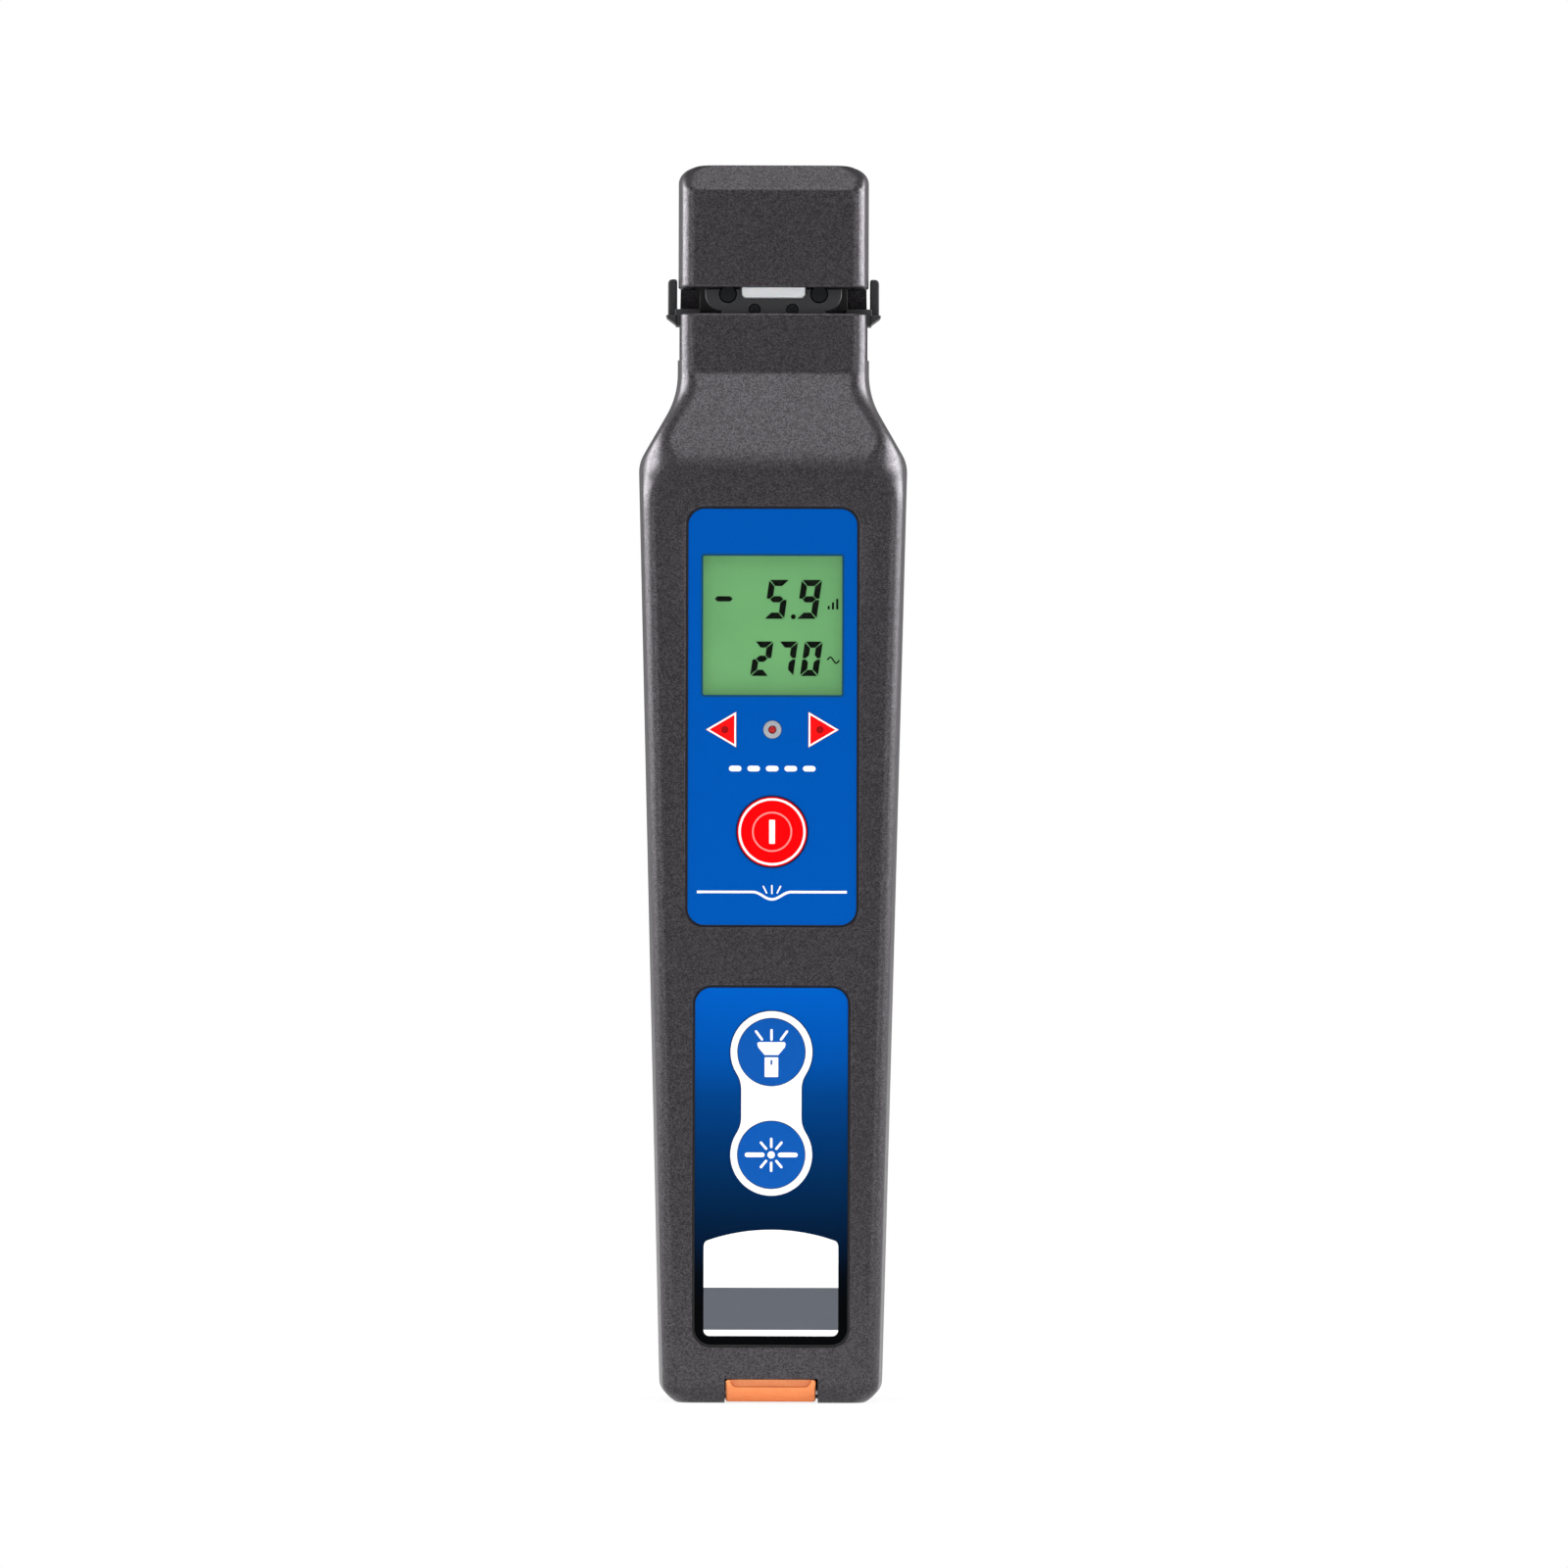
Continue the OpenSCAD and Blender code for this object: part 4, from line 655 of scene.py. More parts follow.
# Front half of the casing: moulded shell with its two panel recesses
def makeFrontShell():
    o, frontY, behind = openings, casing["frontY"], openings["behind"]
    skin = loft(footLevels + bodyLevels + rimLevels(casing["neckTop"], -1), True)
    return makePiece("frontShell", [(skin, [
        loft(insideBody, True, True),
        *[flaredCutter(panelOutline(node, o["recessGap"]), frontY, recessY, casing["lip"])
          for node in ("upper_panel", "lower_panel")],
        box(-windowHalf, windowHalf, frontY, behind, windowZ - windowHalf, windowZ + windowHalf),
        *[rod(0, z, r + o["keyGap"], frontY, behind) for z, r in keyPlaces.values()],
        rod(0, o["signalZ"], o["signalR"], frontY, behind, 32),
        *[plate(arrowOutline(side, o["arrowGap"]), frontY, behind) for side in (-1, 1)],
        *sharedRooms()])], casingPaint, "casing", "casing", "front_shell")


# Rear half, one moulding with the spine behind the slot; its screws sit deep in lined bores
def makeRearShell():
    o, (width, z0, z1) = openings, openings["trigger"]
    half, r, inner, outer, end = width / 2, o["screwR"], o["shankR"], o["liningR"], o["liningEnd"]
    cutters = [loft(insideBody, False, True), loft(insideHead, False, True), box(*o["spine"]), slotCutter(),
               flaredCutter([(-half, z0), (half, z0), (half, z1), (-half, z1)], casing["neckRearY"], -1,
                            o["triggerLip"]),
               flaredCutter(roundRect(*o["door"], 4), casing["rearY"], o["doorY"], o["doorLip"]), box(*o["tray"])]
    linings = []
    for side in (-1, 1):
        cutters.append(sideBox(side, o["tab"]))
        for x, z, seat in o["screws"]:
            cutters.append(flaredCutter(circle(side * x, z, r, 48), rearExact(z), seat, o["screwLip"]))
            wallIn = rearExact(z) - o["liningWall"]
            linings.append(turned(side * x, z, [(inner, seat), (r, seat), (r, wallIn), (outer, wallIn), (outer, end),
                                                (inner, end)], 48, True))
    fibrePort = stackRings([[(x, y, z) for x, y in circle(*o["port"])] for z in (-1, 3)])
    cutters += [fibrePort, *sharedRooms(), box(*o["anvil"])]
    skin = loft(footLevels + bodyLevels + level(182, 184, 185.5, 188, 190, 195) + crownLevels, False)
    return makePiece("rearShell", [(skin, cutters)] + linings, casingPaint, "casing", "casing", "rear_shell")


def makeHeadCover():
    skin = loft(rimLevels(casing["headZ"], 1) + level(192, 196) + crownLevels, True)
    return makePiece("headCover", [(skin, [loft(insideHead, True, True), box(*openings["anvil"])])], casingPaint,
                     "casing", "casing", "head_front_cover")


shells = [makeFrontShell(), makeRearShell(), makeHeadCover()]
print("casing made,", sum(len(piece.data.polygons) for piece in shells), "faces")


def bar(x0, z0, x1, z1, width):
    a, b = Vector((x0, z0)), Vector((x1, z1))
    side = (b - a).normalized().orthogonal() * width / 2
    return [tuple(a + side), tuple(a - side), tuple(b - side), tuple(b + side)]


# A bar with round ends
def pill(x0, z0, x1, z1, width, steps=6):
    turn = degrees(atan2(z1 - z0, x1 - x0))
    return (arc(x1, z1, width / 2, turn - 90, turn + 90, steps)
            + arc(x0, z0, width / 2, turn + 90, turn + 270, steps))


# Rays of light as thin bars, each written as x and height from and to, the heights measured from z
def lightRays(rays, z, width):
    return [pill(x0, z + low, x1, z + high, width, 4) for x0, low, x1, high in rays]


def ribbon(line, width):
    left, right = [], []
    for i, point in enumerate(line):
        before, after = Vector(line[max(0, i - 1)]), Vector(line[min(len(line) - 1, i + 1)])
        side = (after - before).normalized().orthogonal() * width / 2
        left.append(tuple(Vector(point) + side))
        right.append(tuple(Vector(point) - side))
    return left + right[::-1]


# A printed film in its recess, with a black ring under its edge: painted shade that shows as a dark line in the gap
# round it
sheet = {"edge": 0.12, "margin": 0.2, "gapShadeOut": 0.34, "gapShadeIn": 0.3}


def makeFilm(name, node, material, holes):
    outline = panelOutline(node, -sheet["margin"])
    # The black ring is painted shade for the gap between the film and its recess
    inkRing(name + "GapShade", inset(outline, -sheet["gapShadeOut"]), inset(outline, sheet["gapShadeIn"]), recessY, softBlack)
    makePiece(name + "Film", [(plate(outline, filmY, recessY - 0.005, sheet["edge"]), holes)], material,
              "casing", "panel_blue", node)


# Upper panel: window frame, five dashes, and a rule that dips as a fibre does in the clamp, with light
# leaving the bend
upper = {"frameGap": 0.02, "frameW": 0.34, "lightR": 1.6, "keyR": 6.0, "keyShadeR": 6.2, "dashH": 0.95, "dashW": 2.15,
         "dashCount": 5, "dashZ": 107.5, "dashHalfSpan": 7.35, "ruleZ": 86.6, "ruleHalf": 12.7, "ruleW": 0.42,
         "dipHalf": 3.2, "dip": 0.62, "rayW": 0.26,
         "rays": ((-0.9, -0.15, -1.45, 0.95), (0.9, -0.15, 1.45, 0.95), (0, -0.25, 0, 1.1))}


def makeUpperPanel():
    u, front, back, keyZ = upper, filmY - 1, recessY + 1, keyPlaces["power_key"][0]
    w = 2 * (windowHalf + u["frameGap"])
    makeFilm("upper", "upper_panel", blueFilm, [
        plate(roundRect(0, windowZ, w, w, 0.35, 3), front, back),
        *[plate(arrowOutline(side, 0.05), front, back) for side in (-1, 1)],
        rod(0, openings["signalZ"], u["lightR"], front, back, 48), rod(0, keyZ, u["keyR"], front, back, 96)])
    wide = w + 2 * u["frameW"]
    inkRing("windowFrame", roundRect(0, windowZ, wide, wide, 0.6, 4), roundRect(0, windowZ, w, w, 0.35, 4),
            filmY, tealInk)
    # A dark ring round the power key's hole: painted shade of the gap round the key
    inkRing("powerKeyGapShade", circle(0, keyZ, u["keyShadeR"], 96), circle(0, keyZ, u["keyR"], 96), filmY, outlineAndShadeInk)
    pitch = (2 * u["dashHalfSpan"] - u["dashW"]) / (u["dashCount"] - 1)
    half = u["dashW"] / 2 - u["dashH"] / 2
    starts = [-u["dashHalfSpan"] + u["dashW"] / 2 + k * pitch for k in range(u["dashCount"])]
    dashes = [pill(x - half, u["dashZ"], x + half, u["dashZ"], u["dashH"]) for x in starts]
    z0, dipHalf = u["ruleZ"], u["dipHalf"]
    spots = [-dipHalf + 2 * dipHalf * k / 60 for k in range(61)]
    rule = [(x, z0 - u["dip"] * (1 + cos(pi * x / dipHalf))) for x in spots]
    rule = ribbon([(-u["ruleHalf"], z0)] + rule + [(u["ruleHalf"], z0)], u["ruleW"])
    printSet("upperWhitePrint", dashes + [rule] + lightRays(u["rays"], z0, u["rayW"]), filmY, whiteInk)


# Display: segments of 7-part digits, slanted as on the real glass. Each row is z, height and its
# digits, each digit with its x and width; level bars and a wave stand where the unit signs are
digits = {"stroke": 1.05, "slant": 8.0, "cut": 0.07, "layer": 0.03,
          "rows": ((132.9, 6.6, (("5", -1.5, 3.45), ("9", 4.0, 3.45))),
                   (123.2, 5.85, (("2", -3.8, 3.15), ("7", 0.3, 3.2), ("0", 4.65, 3.05)))),
          "point": (3.5, 133.25, 0.42), "bars": (9.5, 0.72, 134.5, 0.6), "barW": 0.36,
          "wave": (9.3, 2.0, 125.9, 0.5), "waveW": 0.26,
          "minus": [(-9.85, 136.25), (-9.35, 136.7), (-7.2, 136.7), (-6.75, 136.25), (-7.2, 135.8), (-9.35, 135.8)]}
segmentsLit = {"0": "abcdef", "2": "abged", "5": "afgcd", "7": "abc", "9": "abcdfg"}


def digitShapes(sign, x, z, w, h):
    t, cut, slant = digits["stroke"], digits["cut"], tan(radians(digits["slant"]))
    mid, m = h / 2, t / 2
    foot = [(cut * 2, 0), (w - cut * 2, 0), (w - t - cut, t), (t + cut, t)]
    left = [(0, cut * 2), (0, mid - cut * 2), (m, mid - cut), (t, mid - cut - m), (t, cut + t)]
    shapes = {"g": [(m + cut, mid), (t + cut, mid + m), (w - t - cut, mid + m), (w - m - cut, mid),
                    (w - t - cut, mid - m), (t + cut, mid - m)],
              "d": foot, "e": left, "c": [(w - px, pz) for px, pz in left]}
    for low, high in ("da", "ef", "cb"):
        shapes[high] = [(px, h - pz) for px, pz in shapes[low]]
    return [[(x + px + pz * slant, z + pz) for px, pz in shapes[s]] for s in segmentsLit[sign]]


def makeDisplay():
    shapes = []
    for z, h, row in digits["rows"]:
        for sign, x, w in row:
            shapes += digitShapes(sign, x, z, w, h)
    shapes += [circle(*digits["point"], 16), digits["minus"]]
    x, pitch, z, rise = digits["bars"]
    shapes += [bar(x + k * pitch, z, x + k * pitch, z + rise + k * rise, digits["barW"]) for k in range(3)]
    x, length, z, swing = digits["wave"]
    wave = [(x + length * k / 24, z + swing * sin(2 * pi * k / 24)) for k in range(25)]
    shapes.append(ribbon(wave, digits["waveW"]))
    printSet("displaySegments", shapes, boxOf("lcd_panel")[0][1], blackInk, "casing", "lcd_green", digits["layer"])


# Arrow lights: moulded red lenses with a white printed border and the light source as a darker spot
def makeArrows():
    for side, name in ((-1, "arrowLensLeft"), (1, "arrowLensRight")):
        low, high = boxOf(arrowNodes[side])
        outline = arrowOutline(side, 0)[::side]
        makePiece(name, [plate(outline, low[1], high[1], 0.06, 2)], arrowRed, "casing", "red", arrowNodes[side])
        inkRing(name + "Border", inset(outline, 0.04), inset(outline, 0.32), low[1], whiteInk, slotName="red")
        source = circle(side * arrow["sourceX"], openings["signalZ"], arrow["sourceR"], 32)
        printSet(name + "Spot", [source], low[1], darkRedInk, slotName="red")


# Signal light: a clear red dome in a grey bezel. Both profiles are (radius, y), the dome's y from its tip
signal = {"bezel": [(0.7, -15.72), (0.78, -15.8), (1.4, -15.8), (1.5, -15.76), (1.55, -15.66), (1.55, -14.0),
                    (2.05, -14.0), (2.05, -13.5), (0.7, -13.5)],
          "dome": [(0.05, 0), (0.3, 0.03), (0.5, 0.12), (0.62, 0.26), (0.66, 0.45)]}


def makeSignalLight():
    z = openings["signalZ"]
    makePiece("signalBezel", [turned(0, z, signal["bezel"], 64, True)], bezelGrey,
              "casing", "bezel_grey", "signal_bezel")
    low, high = boxOf("signal_led")
    dome = [(r, low[1] + y) for r, y in signal["dome"]] + [(signal["dome"][-1][0], high[1])]
    makePiece("signalDome", [turned(0, z, dome, 40)], signRed, "casing", "red", "signal_led")


# Keys: moulded caps with a rounded rim, the flange behind the panel and the stem to the switch
keys = {"rim": 0.22, "flange": 0.8, "flangeY": (-13.9, -13.1), "stemR": 1.5, "frontY": -15.95, "rayW": 0.42,
        "rimRing": (5.68, 5.3), "ring": (3.4, 3.12), "bar": (0.98, 4.06, 0.12),
        "torchRays": ((-2.62, 3.5, -1.62, 2.15), (0, 3.7, 0, 2.1), (2.62, 3.5, 1.62, 2.15)),
        "reflector": ((2.2, 1.7), (2.42, 1.45), (2.25, 0.8), (1.15, -0.5)),
        "fibre": (1.5, 4.1, 0.78), "breakR": 0.62, "raysFrom": 1.35, "raysTo": 2.7}


def makeKey(node, name, material, slotName):
    z, r = keyPlaces[node]
    low, high = boxOf(node)
    rim, wide, (y0, y1) = keys["rim"], r + keys["flange"], keys["flangeY"]
    rounded = [(r - rim + rim * c, low[1] + rim - rim * s) for c, s in quarter(4)[::-1]]
    profile = [(r - rim - 0.02, low[1])] + rounded + [(r, y0), (wide, y0), (wide, y1),
                                                      (keys["stemR"], y1), (keys["stemR"], high[1])]
    makePiece(name, [turned(0, z, profile)], material, node, slotName, node)


def makeKeys():
    for key, ink, slotName in (("power", redInk, "red"), ("torch", keyBlue, "panel_blue"),
                               ("locator", keyBlue, "panel_blue")):
        makeKey(key + "_key", key + "Key", ink, slotName)
    y, z, w = keys["frontY"], keyPlaces["power_key"][0], keys["rayW"]
    for name, (outer, inner), ink, steps in (("powerKeyRim", keys["rimRing"], whiteInk, 96),
                                             ("powerKeyRing", keys["ring"], paleRedInk, 72)):
        inkRing(name, circle(0, z, outer, steps), circle(0, z, inner, steps), y, ink, "power_key", "red")
    printSet("powerKeyBar", [roundRect(0, z, *keys["bar"], 2)], y, whiteInk, "power_key", "red")
    # Torch sign: three rays, the flared reflector and the barrel with its switch
    z = keyPlaces["torch_key"][0]
    reflector = mirrored([(x, z + up) for x, up in keys["reflector"]])
    barrel = (roundRect(0, z - 2.55, 2.3, 3.35, 0.12, 2), [roundRect(0, z - 1.75, 0.34, 0.85, 0.15, 3)])
    printSet("torchSign", lightRays(keys["torchRays"], z, w) + [reflector, barrel], y, whiteInk, "torch_key")
    # Locator sign: a fibre broken in the middle with light leaving the break
    z, (near, far, thick), r0, r1 = keyPlaces["locator_key"][0], keys["fibre"], keys["raysFrom"], keys["raysTo"]
    shapes = [pill(-far, z, -near, z, thick), pill(near, z, far, z, thick), circle(0, z, keys["breakR"], 32)]
    turns = [(cos(radians(turn)), sin(radians(turn))) for turn in (50, 90, 130, 230, 270, 310)]
    shapes += lightRays([(r0 * c, r0 * s, r1 * c, r1 * s) for c, s in turns], z, w)
    printSet("locatorSign", shapes, y, whiteInk, "locator_key")


# Lower panel: faded film, the white link round both keys and the bare white plate at its foot
lower = {"linkR": 6.92, "linkLine": 0.2, "waist": 5.1, "fillet": 5.0, "plateHalf": 11.4, "plateTop": 29.4,
         "plateShoulder": 27.35, "plateFoot": 11.4, "plateR": 1.0, "bandLow": 12.45, "bandHigh": 19.6}


def linkOutline(grow=0.0):
    r, waist, fillet = lower["linkR"] + grow, lower["waist"] + grow, lower["fillet"] - grow
    upperZ, lowerZ = keyPlaces["torch_key"][0], keyPlaces["locator_key"][0]
    gap, mid = (upperZ - lowerZ) / 2, (upperZ + lowerZ) / 2
    cx = waist + fillet
    cz = gap - sqrt((r + fillet) ** 2 - cx ** 2)
    turn = degrees(atan2(gap - cz, cx))
    right = (arc(0, mid + gap, r, 90, -turn, 30) + arc(cx, mid + cz, fillet, 180 - turn, 180, 8)
             + arc(cx, mid - cz, fillet, 180, 180 + turn, 8) + arc(0, mid - gap, r, turn, -90, 30))
    return right + [(-x, z) for x, z in right[-2:0:-1]]


def makeLowerPanel():
    rims = [(z, r + openings["keyGap"]) for z, r in (keyPlaces["torch_key"], keyPlaces["locator_key"])]
    makeFilm("lower", "lower_panel", lowerFilm, [rod(0, z, r, filmY - 1, recessY + 1, 96) for z, r in rims])
    holes = [circle(0, z, r, 96) for z, r in rims]
    printSet("linkOutline", [(linkOutline(lower["linkLine"]), holes)], filmY, outlineAndShadeInk, depth=0.01)
    printSet("linkPrint", [(linkOutline(), holes)], filmY, whiteInk)
    half, foot, shoulder = lower["plateHalf"], lower["plateFoot"], lower["plateShoulder"]
    sag = lower["plateTop"] - shoulder
    big = (half ** 2 + sag ** 2) / (2 * sag)
    turn = degrees(asin(half / big)) * 0.955
    right = [(half, shoulder - 0.75), (half - 0.1, shoulder - 0.28), (half - 0.3, shoulder + 0.02)]
    face = (right + arc(0, lower["plateTop"] - big, big, 90 - turn, 90 + turn, 24)
            + [(-x, z) for x, z in right[::-1]] + roundFoot(half, foot, lower["plateR"], 6))
    printSet("footPlate", [face], filmY, whiteInk)
    z0, z1 = lower["bandLow"], lower["bandHigh"]
    printSet("footBand", [[(-half, z0), (half, z0), (half, z1), (-half, z1)]], filmY - inkLayer, greyInk, depth=0.012)


makeUpperPanel()
makeDisplay()
makeArrows()
makeSignalLight()
makeKeys()
makeLowerPanel()
print("panels made")


# Clamp: cheek with its anvil notch, and the turned ends of its pins sitting just inside
clamp = {"edge": 0.28, "cheekHalf": 11.6, "cheekRound": 3.0, "footHalf": 8.7, "notchGap": 0.15, "pinR": 1.5,
         "pinGap": 0.04, "pinBevel": 0.2, "screwR": 1.0, "sinkR": 1.05, "sinkDepth": 0.7, "boreR": 0.66}


def makeCheek():
    (_, front, foot), (_, rear, top) = boxOf("front_cheek")
    anvilLow, anvilHigh = boxOf("anvil")
    pinLow, pinHigh = boxOf("bend_pins")
    pinZ, pinR = centreOf("bend_pins")[2], clamp["pinR"]
    pinX = (pinHigh[0] - pinLow[0]) / 2 - pinR
    screwX, screwZ = boxOf("cheek_screws")[1][0] - clamp["screwR"], centreOf("cheek_screws")[2]
    half, r, bevel = clamp["cheekHalf"], clamp["cheekRound"], clamp["pinBevel"]
    w = (anvilHigh[0] - anvilLow[0]) / 2 + clamp["notchGap"]
    notchZ = anvilLow[2] - clamp["notchGap"]
    outline = mirrored([(w - 0.7, notchZ), (w, notchZ + 0.75), (w, top), (half, top)]
                       + arc(half - r, pinZ, r, 0, -88, 14)
                       + [(clamp["footHalf"], pinZ - r - 0.1), (clamp["footHalf"], foot)])
    cutters, pins = [], []
    for side in (-1, 1):
        x = side * screwX
        cutters += [flaredCutter(circle(side * pinX, pinZ, pinR + clamp["pinGap"], 40), front, rear + 1, 0.1),
                    rod(x, screwZ, clamp["boreR"], front - 1, rear + 1, 32),
                    flaredCutter(circle(x, screwZ, clamp["sinkR"], 40), front, front + clamp["sinkDepth"], 0.08)]
        profile = [(pinR - bevel, pinLow[1]), (pinR, pinLow[1] + bevel), (pinR, pinHigh[1])]
        pins.append(turned(side * pinX, pinZ, profile, 48))
    makePiece("frontCheek", [(plate(outline, front, rear, clamp["edge"]), cutters)], blackNylon,
              "carriage", "black_plastic", "front_cheek")
    makePiece("bendPins", pins, blackSteel, "carriage", "dark_steel", "bend_pins")


# Screws along y with a domed rim, a cross recess and a shank; way is 1 when their heads face +y.
# Each kind is head radius, head height and shank radius
screwKinds = {"cheek": (clamp["screwR"], 0.65, 0.6), "casing": (2.2, 1.6, 1.2), "trigger": (1.8, 1.2, 0.9)}


def screwSet(name, node, spots, seatY, kind, length, way, material, *claims):
    headR, headT, shankR = screwKinds[kind]
    face, screws = seatY + way * headT, []
    profile = [(shankR * 0.6, seatY - way * length), (shankR, seatY - way * (length - shankR * 0.5)),
               (shankR, seatY), (headR, seatY), (headR, face - way * headT * 0.35),
               (headR * 0.93, face - way * headT * 0.12), (headR * 0.8, face)]
    for k, (cx, cz) in enumerate(spots):
        recesses = []
        for turn in (20 + 37 * k, 110 + 37 * k):
            dx, dz = (trig(radians(turn)) * headR * 0.62 for trig in (cos, sin))
            recess = bar(cx - dx, cz - dz, cx + dx, cz + dz, headR * 0.26)
            recesses.append(plate(recess, face - way * headT * 0.6, face + way))
        screws.append((turned(cx, cz, profile, 40), recesses))
    makePiece(name, screws, material, *claims, node)


def makeScrews():
    low, high = boxOf("cheek_screws")
    x, seat = high[0] - clamp["screwR"], low[1] + screwKinds["cheek"][1]
    screwSet("cheekScrews", "cheek_screws", [(-x, (low[2] + high[2]) / 2), (x, (low[2] + high[2]) / 2)], seat,
             "cheek", high[1] - seat, -1, blackSteel, "carriage", "dark_steel")
    *body, (x, z, headSeat) = openings["screws"]
    screwSet("casingScrews", "casing_screws", [(s * x, z) for s in (-1, 1) for x, z, seat in body], body[0][2],
             "casing", 11, 1, zincSteel, "casing", "steel")
    screwSet("headScrews", "head_screws", [(-x, z), (x, z)], headSeat, "casing", 7, 1, zincSteel, "casing", "steel")
    low, high = boxOf("trigger_screws")
    r, seat = screwKinds["trigger"][0], high[1] - screwKinds["trigger"][1]
    screwSet("triggerScrews", "trigger_screws", [(0, low[2] + r), (0, high[2] - r)], seat,
             "trigger", seat - low[1], 1, zincSteel, "carriage", "steel")


def makeAnvil(r=0.7):
    (left, front, foot), (right, rear, top) = boxOf("anvil")
    half = (right - left) / 2
    outline = [(-half, top), (-half, foot + r)] + roundFoot(half, foot, r, 6) + [(half, top)]
    makePiece("anvilBlock", [plate(outline, front, rear, 0.22)], acetalPaintedGlow, "casing", "white_plastic", "anvil")


# Cradle: floor block, back wall and the two ears that stand out through the neck's sides
cradle = {"half": 12.6, "floorZ": 184.6, "wallTop": 189.9, "backY": -1.0, "backT": 1.8, "bevel": 0.4,
          "earIn": 16.45, "earOut": 18.0, "earFoot": 182.8, "earFront": -6.8, "earRear": 4.0, "earEdge": 0.3,
          "flare": 0.25, "tipOut": 0.75, "tipIn": 0.35, "lip": ((0.2, 184.05), (0.05, 184.18), (0, 184.3))}


def makeCradle():
    c, topZ = cradle, boxOf("fibre_cradle")[1][2]
    half, floorZ, wallTop, bevel, earIn, earOut = (c[k] for k in ("half", "floorZ", "wallTop", "bevel", "earIn",
                                                                  "earOut"))
    _, rearY, lowZ = boxOf("clamp_carriage")[1]
    frontY, tip = boxOf("front_cheek")[1][1], earOut + c["flare"]
    parts = [box(-half, half, frontY, rearY, lowZ, floorZ),
             plate([(-half, floorZ - 0.2), (half, floorZ - 0.2), (half, wallTop - bevel), (half - bevel, wallTop),
                    (-half + bevel, wallTop), (-half, wallTop - bevel)], c["backY"], c["backY"] + c["backT"], 0.15),
             plate(roundRect(0, floorZ + 0.9, 10, 2.2, 0.3, 3), frontY, frontY + 1.9, 0.05)]
    lowEar = ([(earIn, floorZ), (earIn, c["earFoot"] + 0.05)] + [(tip - d, z) for d, z in c["lip"]]
              + [(tip, floorZ - 0.1), (tip - 0.12, floorZ)])
    tallEar = ([(earIn, floorZ - 0.3), (earOut, floorZ - 0.3)]
               + arc(earOut - c["tipOut"], topZ - c["tipOut"], c["tipOut"], 0, 90, 6)
               + arc(earIn + c["tipIn"], topZ - c["tipIn"], c["tipIn"], 90, 180, 4))
    for side in (-1, 1):
        web = sideBox(side, (half - 0.2, earIn + 0.25, -6.5, c["earRear"], c["earFoot"], floorZ + 1.0))
        parts.append(roundOff(web, 0.1))
        for ear, front in ((lowEar, c["earFront"]), (tallEar, c["backY"])):
            outline = [(side * x, z) for x, z in ear][::side]
            parts.append(plate(outline, front, c["earRear"], c["earEdge"]))
    makePiece("fibreCradle", parts, blackNylon, "carriage", "black_plastic", "fibre_cradle")


# Thumb trigger: a rubbery pad with a dished face and rolled ridges, screwed to the carriage's arm
trigger = {"foot": 166.0, "top": 182.0, "y0": 13.8, "y1": 17.1, "round": 2.0, "edge": 0.7, "bevel": 0.25,
           "arm": (-3.4, 3.4, 169, 177), "ridges": 4, "ridgeZ": 168.7, "ridgeSpan": 10.6, "ridgeHalf": 6.5,
           "ridgeR": 0.7, "screwZ": (171, 175), "sinkR": 1.95, "sinkY": 15.2}


def makeTrigger():
    low, high = boxOf("thumb_trigger")
    t, y0, y1, e, half = trigger, trigger["y0"], trigger["y1"], trigger["edge"], trigger["ridgeHalf"]
    outline = roundRect(0, (t["foot"] + t["top"]) / 2, high[0] - low[0], t["top"] - t["foot"], t["round"])
    rings = [lay(inset(outline, t["bevel"]), y0), lay(outline, y0 + t["bevel"])]
    rings += [lay(inset(outline, e * (1 - c)), y1 - e + e * s) for c, s in quarter(5)]
    x0, x1, z0, z1 = t["arm"]
    meshes = [stackRings(rings), box(x0, x1, boxOf("clamp_carriage")[1][1], y0 + 2, z0, z1)]
    for k in range(t["ridges"]):
        z, ridge = t["ridgeZ"] + k * t["ridgeSpan"] / (t["ridges"] - 1), []
        for x in [-half + 2 * half * j / 12 for j in range(13)]:
            r = t["ridgeR"] * sqrt(max(0.02, 1 - (abs(x) / (half + 0.05)) ** 6))
            turns = [radians(a) for a in range(0, 360, 24)]
            ridge.append([(x, y1 + r * cos(a), z + r * sin(a)) for a in turns])
        meshes.append(stackRings(ridge))
    sinks = [flaredCutter(circle(0, z, t["sinkR"], 40), y1 + t["ridgeR"] + 0.02, t["sinkY"], 0.2)
             for z in t["screwZ"]]
    makePiece("thumbTrigger", [(mesh, sinks) for mesh in meshes], softBlack,
              "carriage", "black_plastic", "thumb_trigger")


makeCheek()
makeScrews()
makeAnvil()
makeCradle()
makeTrigger()
print("clamp made")


# Cover at the foot: a lipped flap with a thumbnail scoop and its hinge barrel
flap = {"round": 0.35, "wall": 2.0, "bowZ": 3.25, "barrelR": 1.3, "barrelEdge": 0.15, "boreR": 0.8,
        "scoopW": 13.6, "scoopH": 1.35, "scoopR": 1.1, "scoopD": 1.1}


def across(outline, x):
    return [(x, y, z) for y, z in outline]


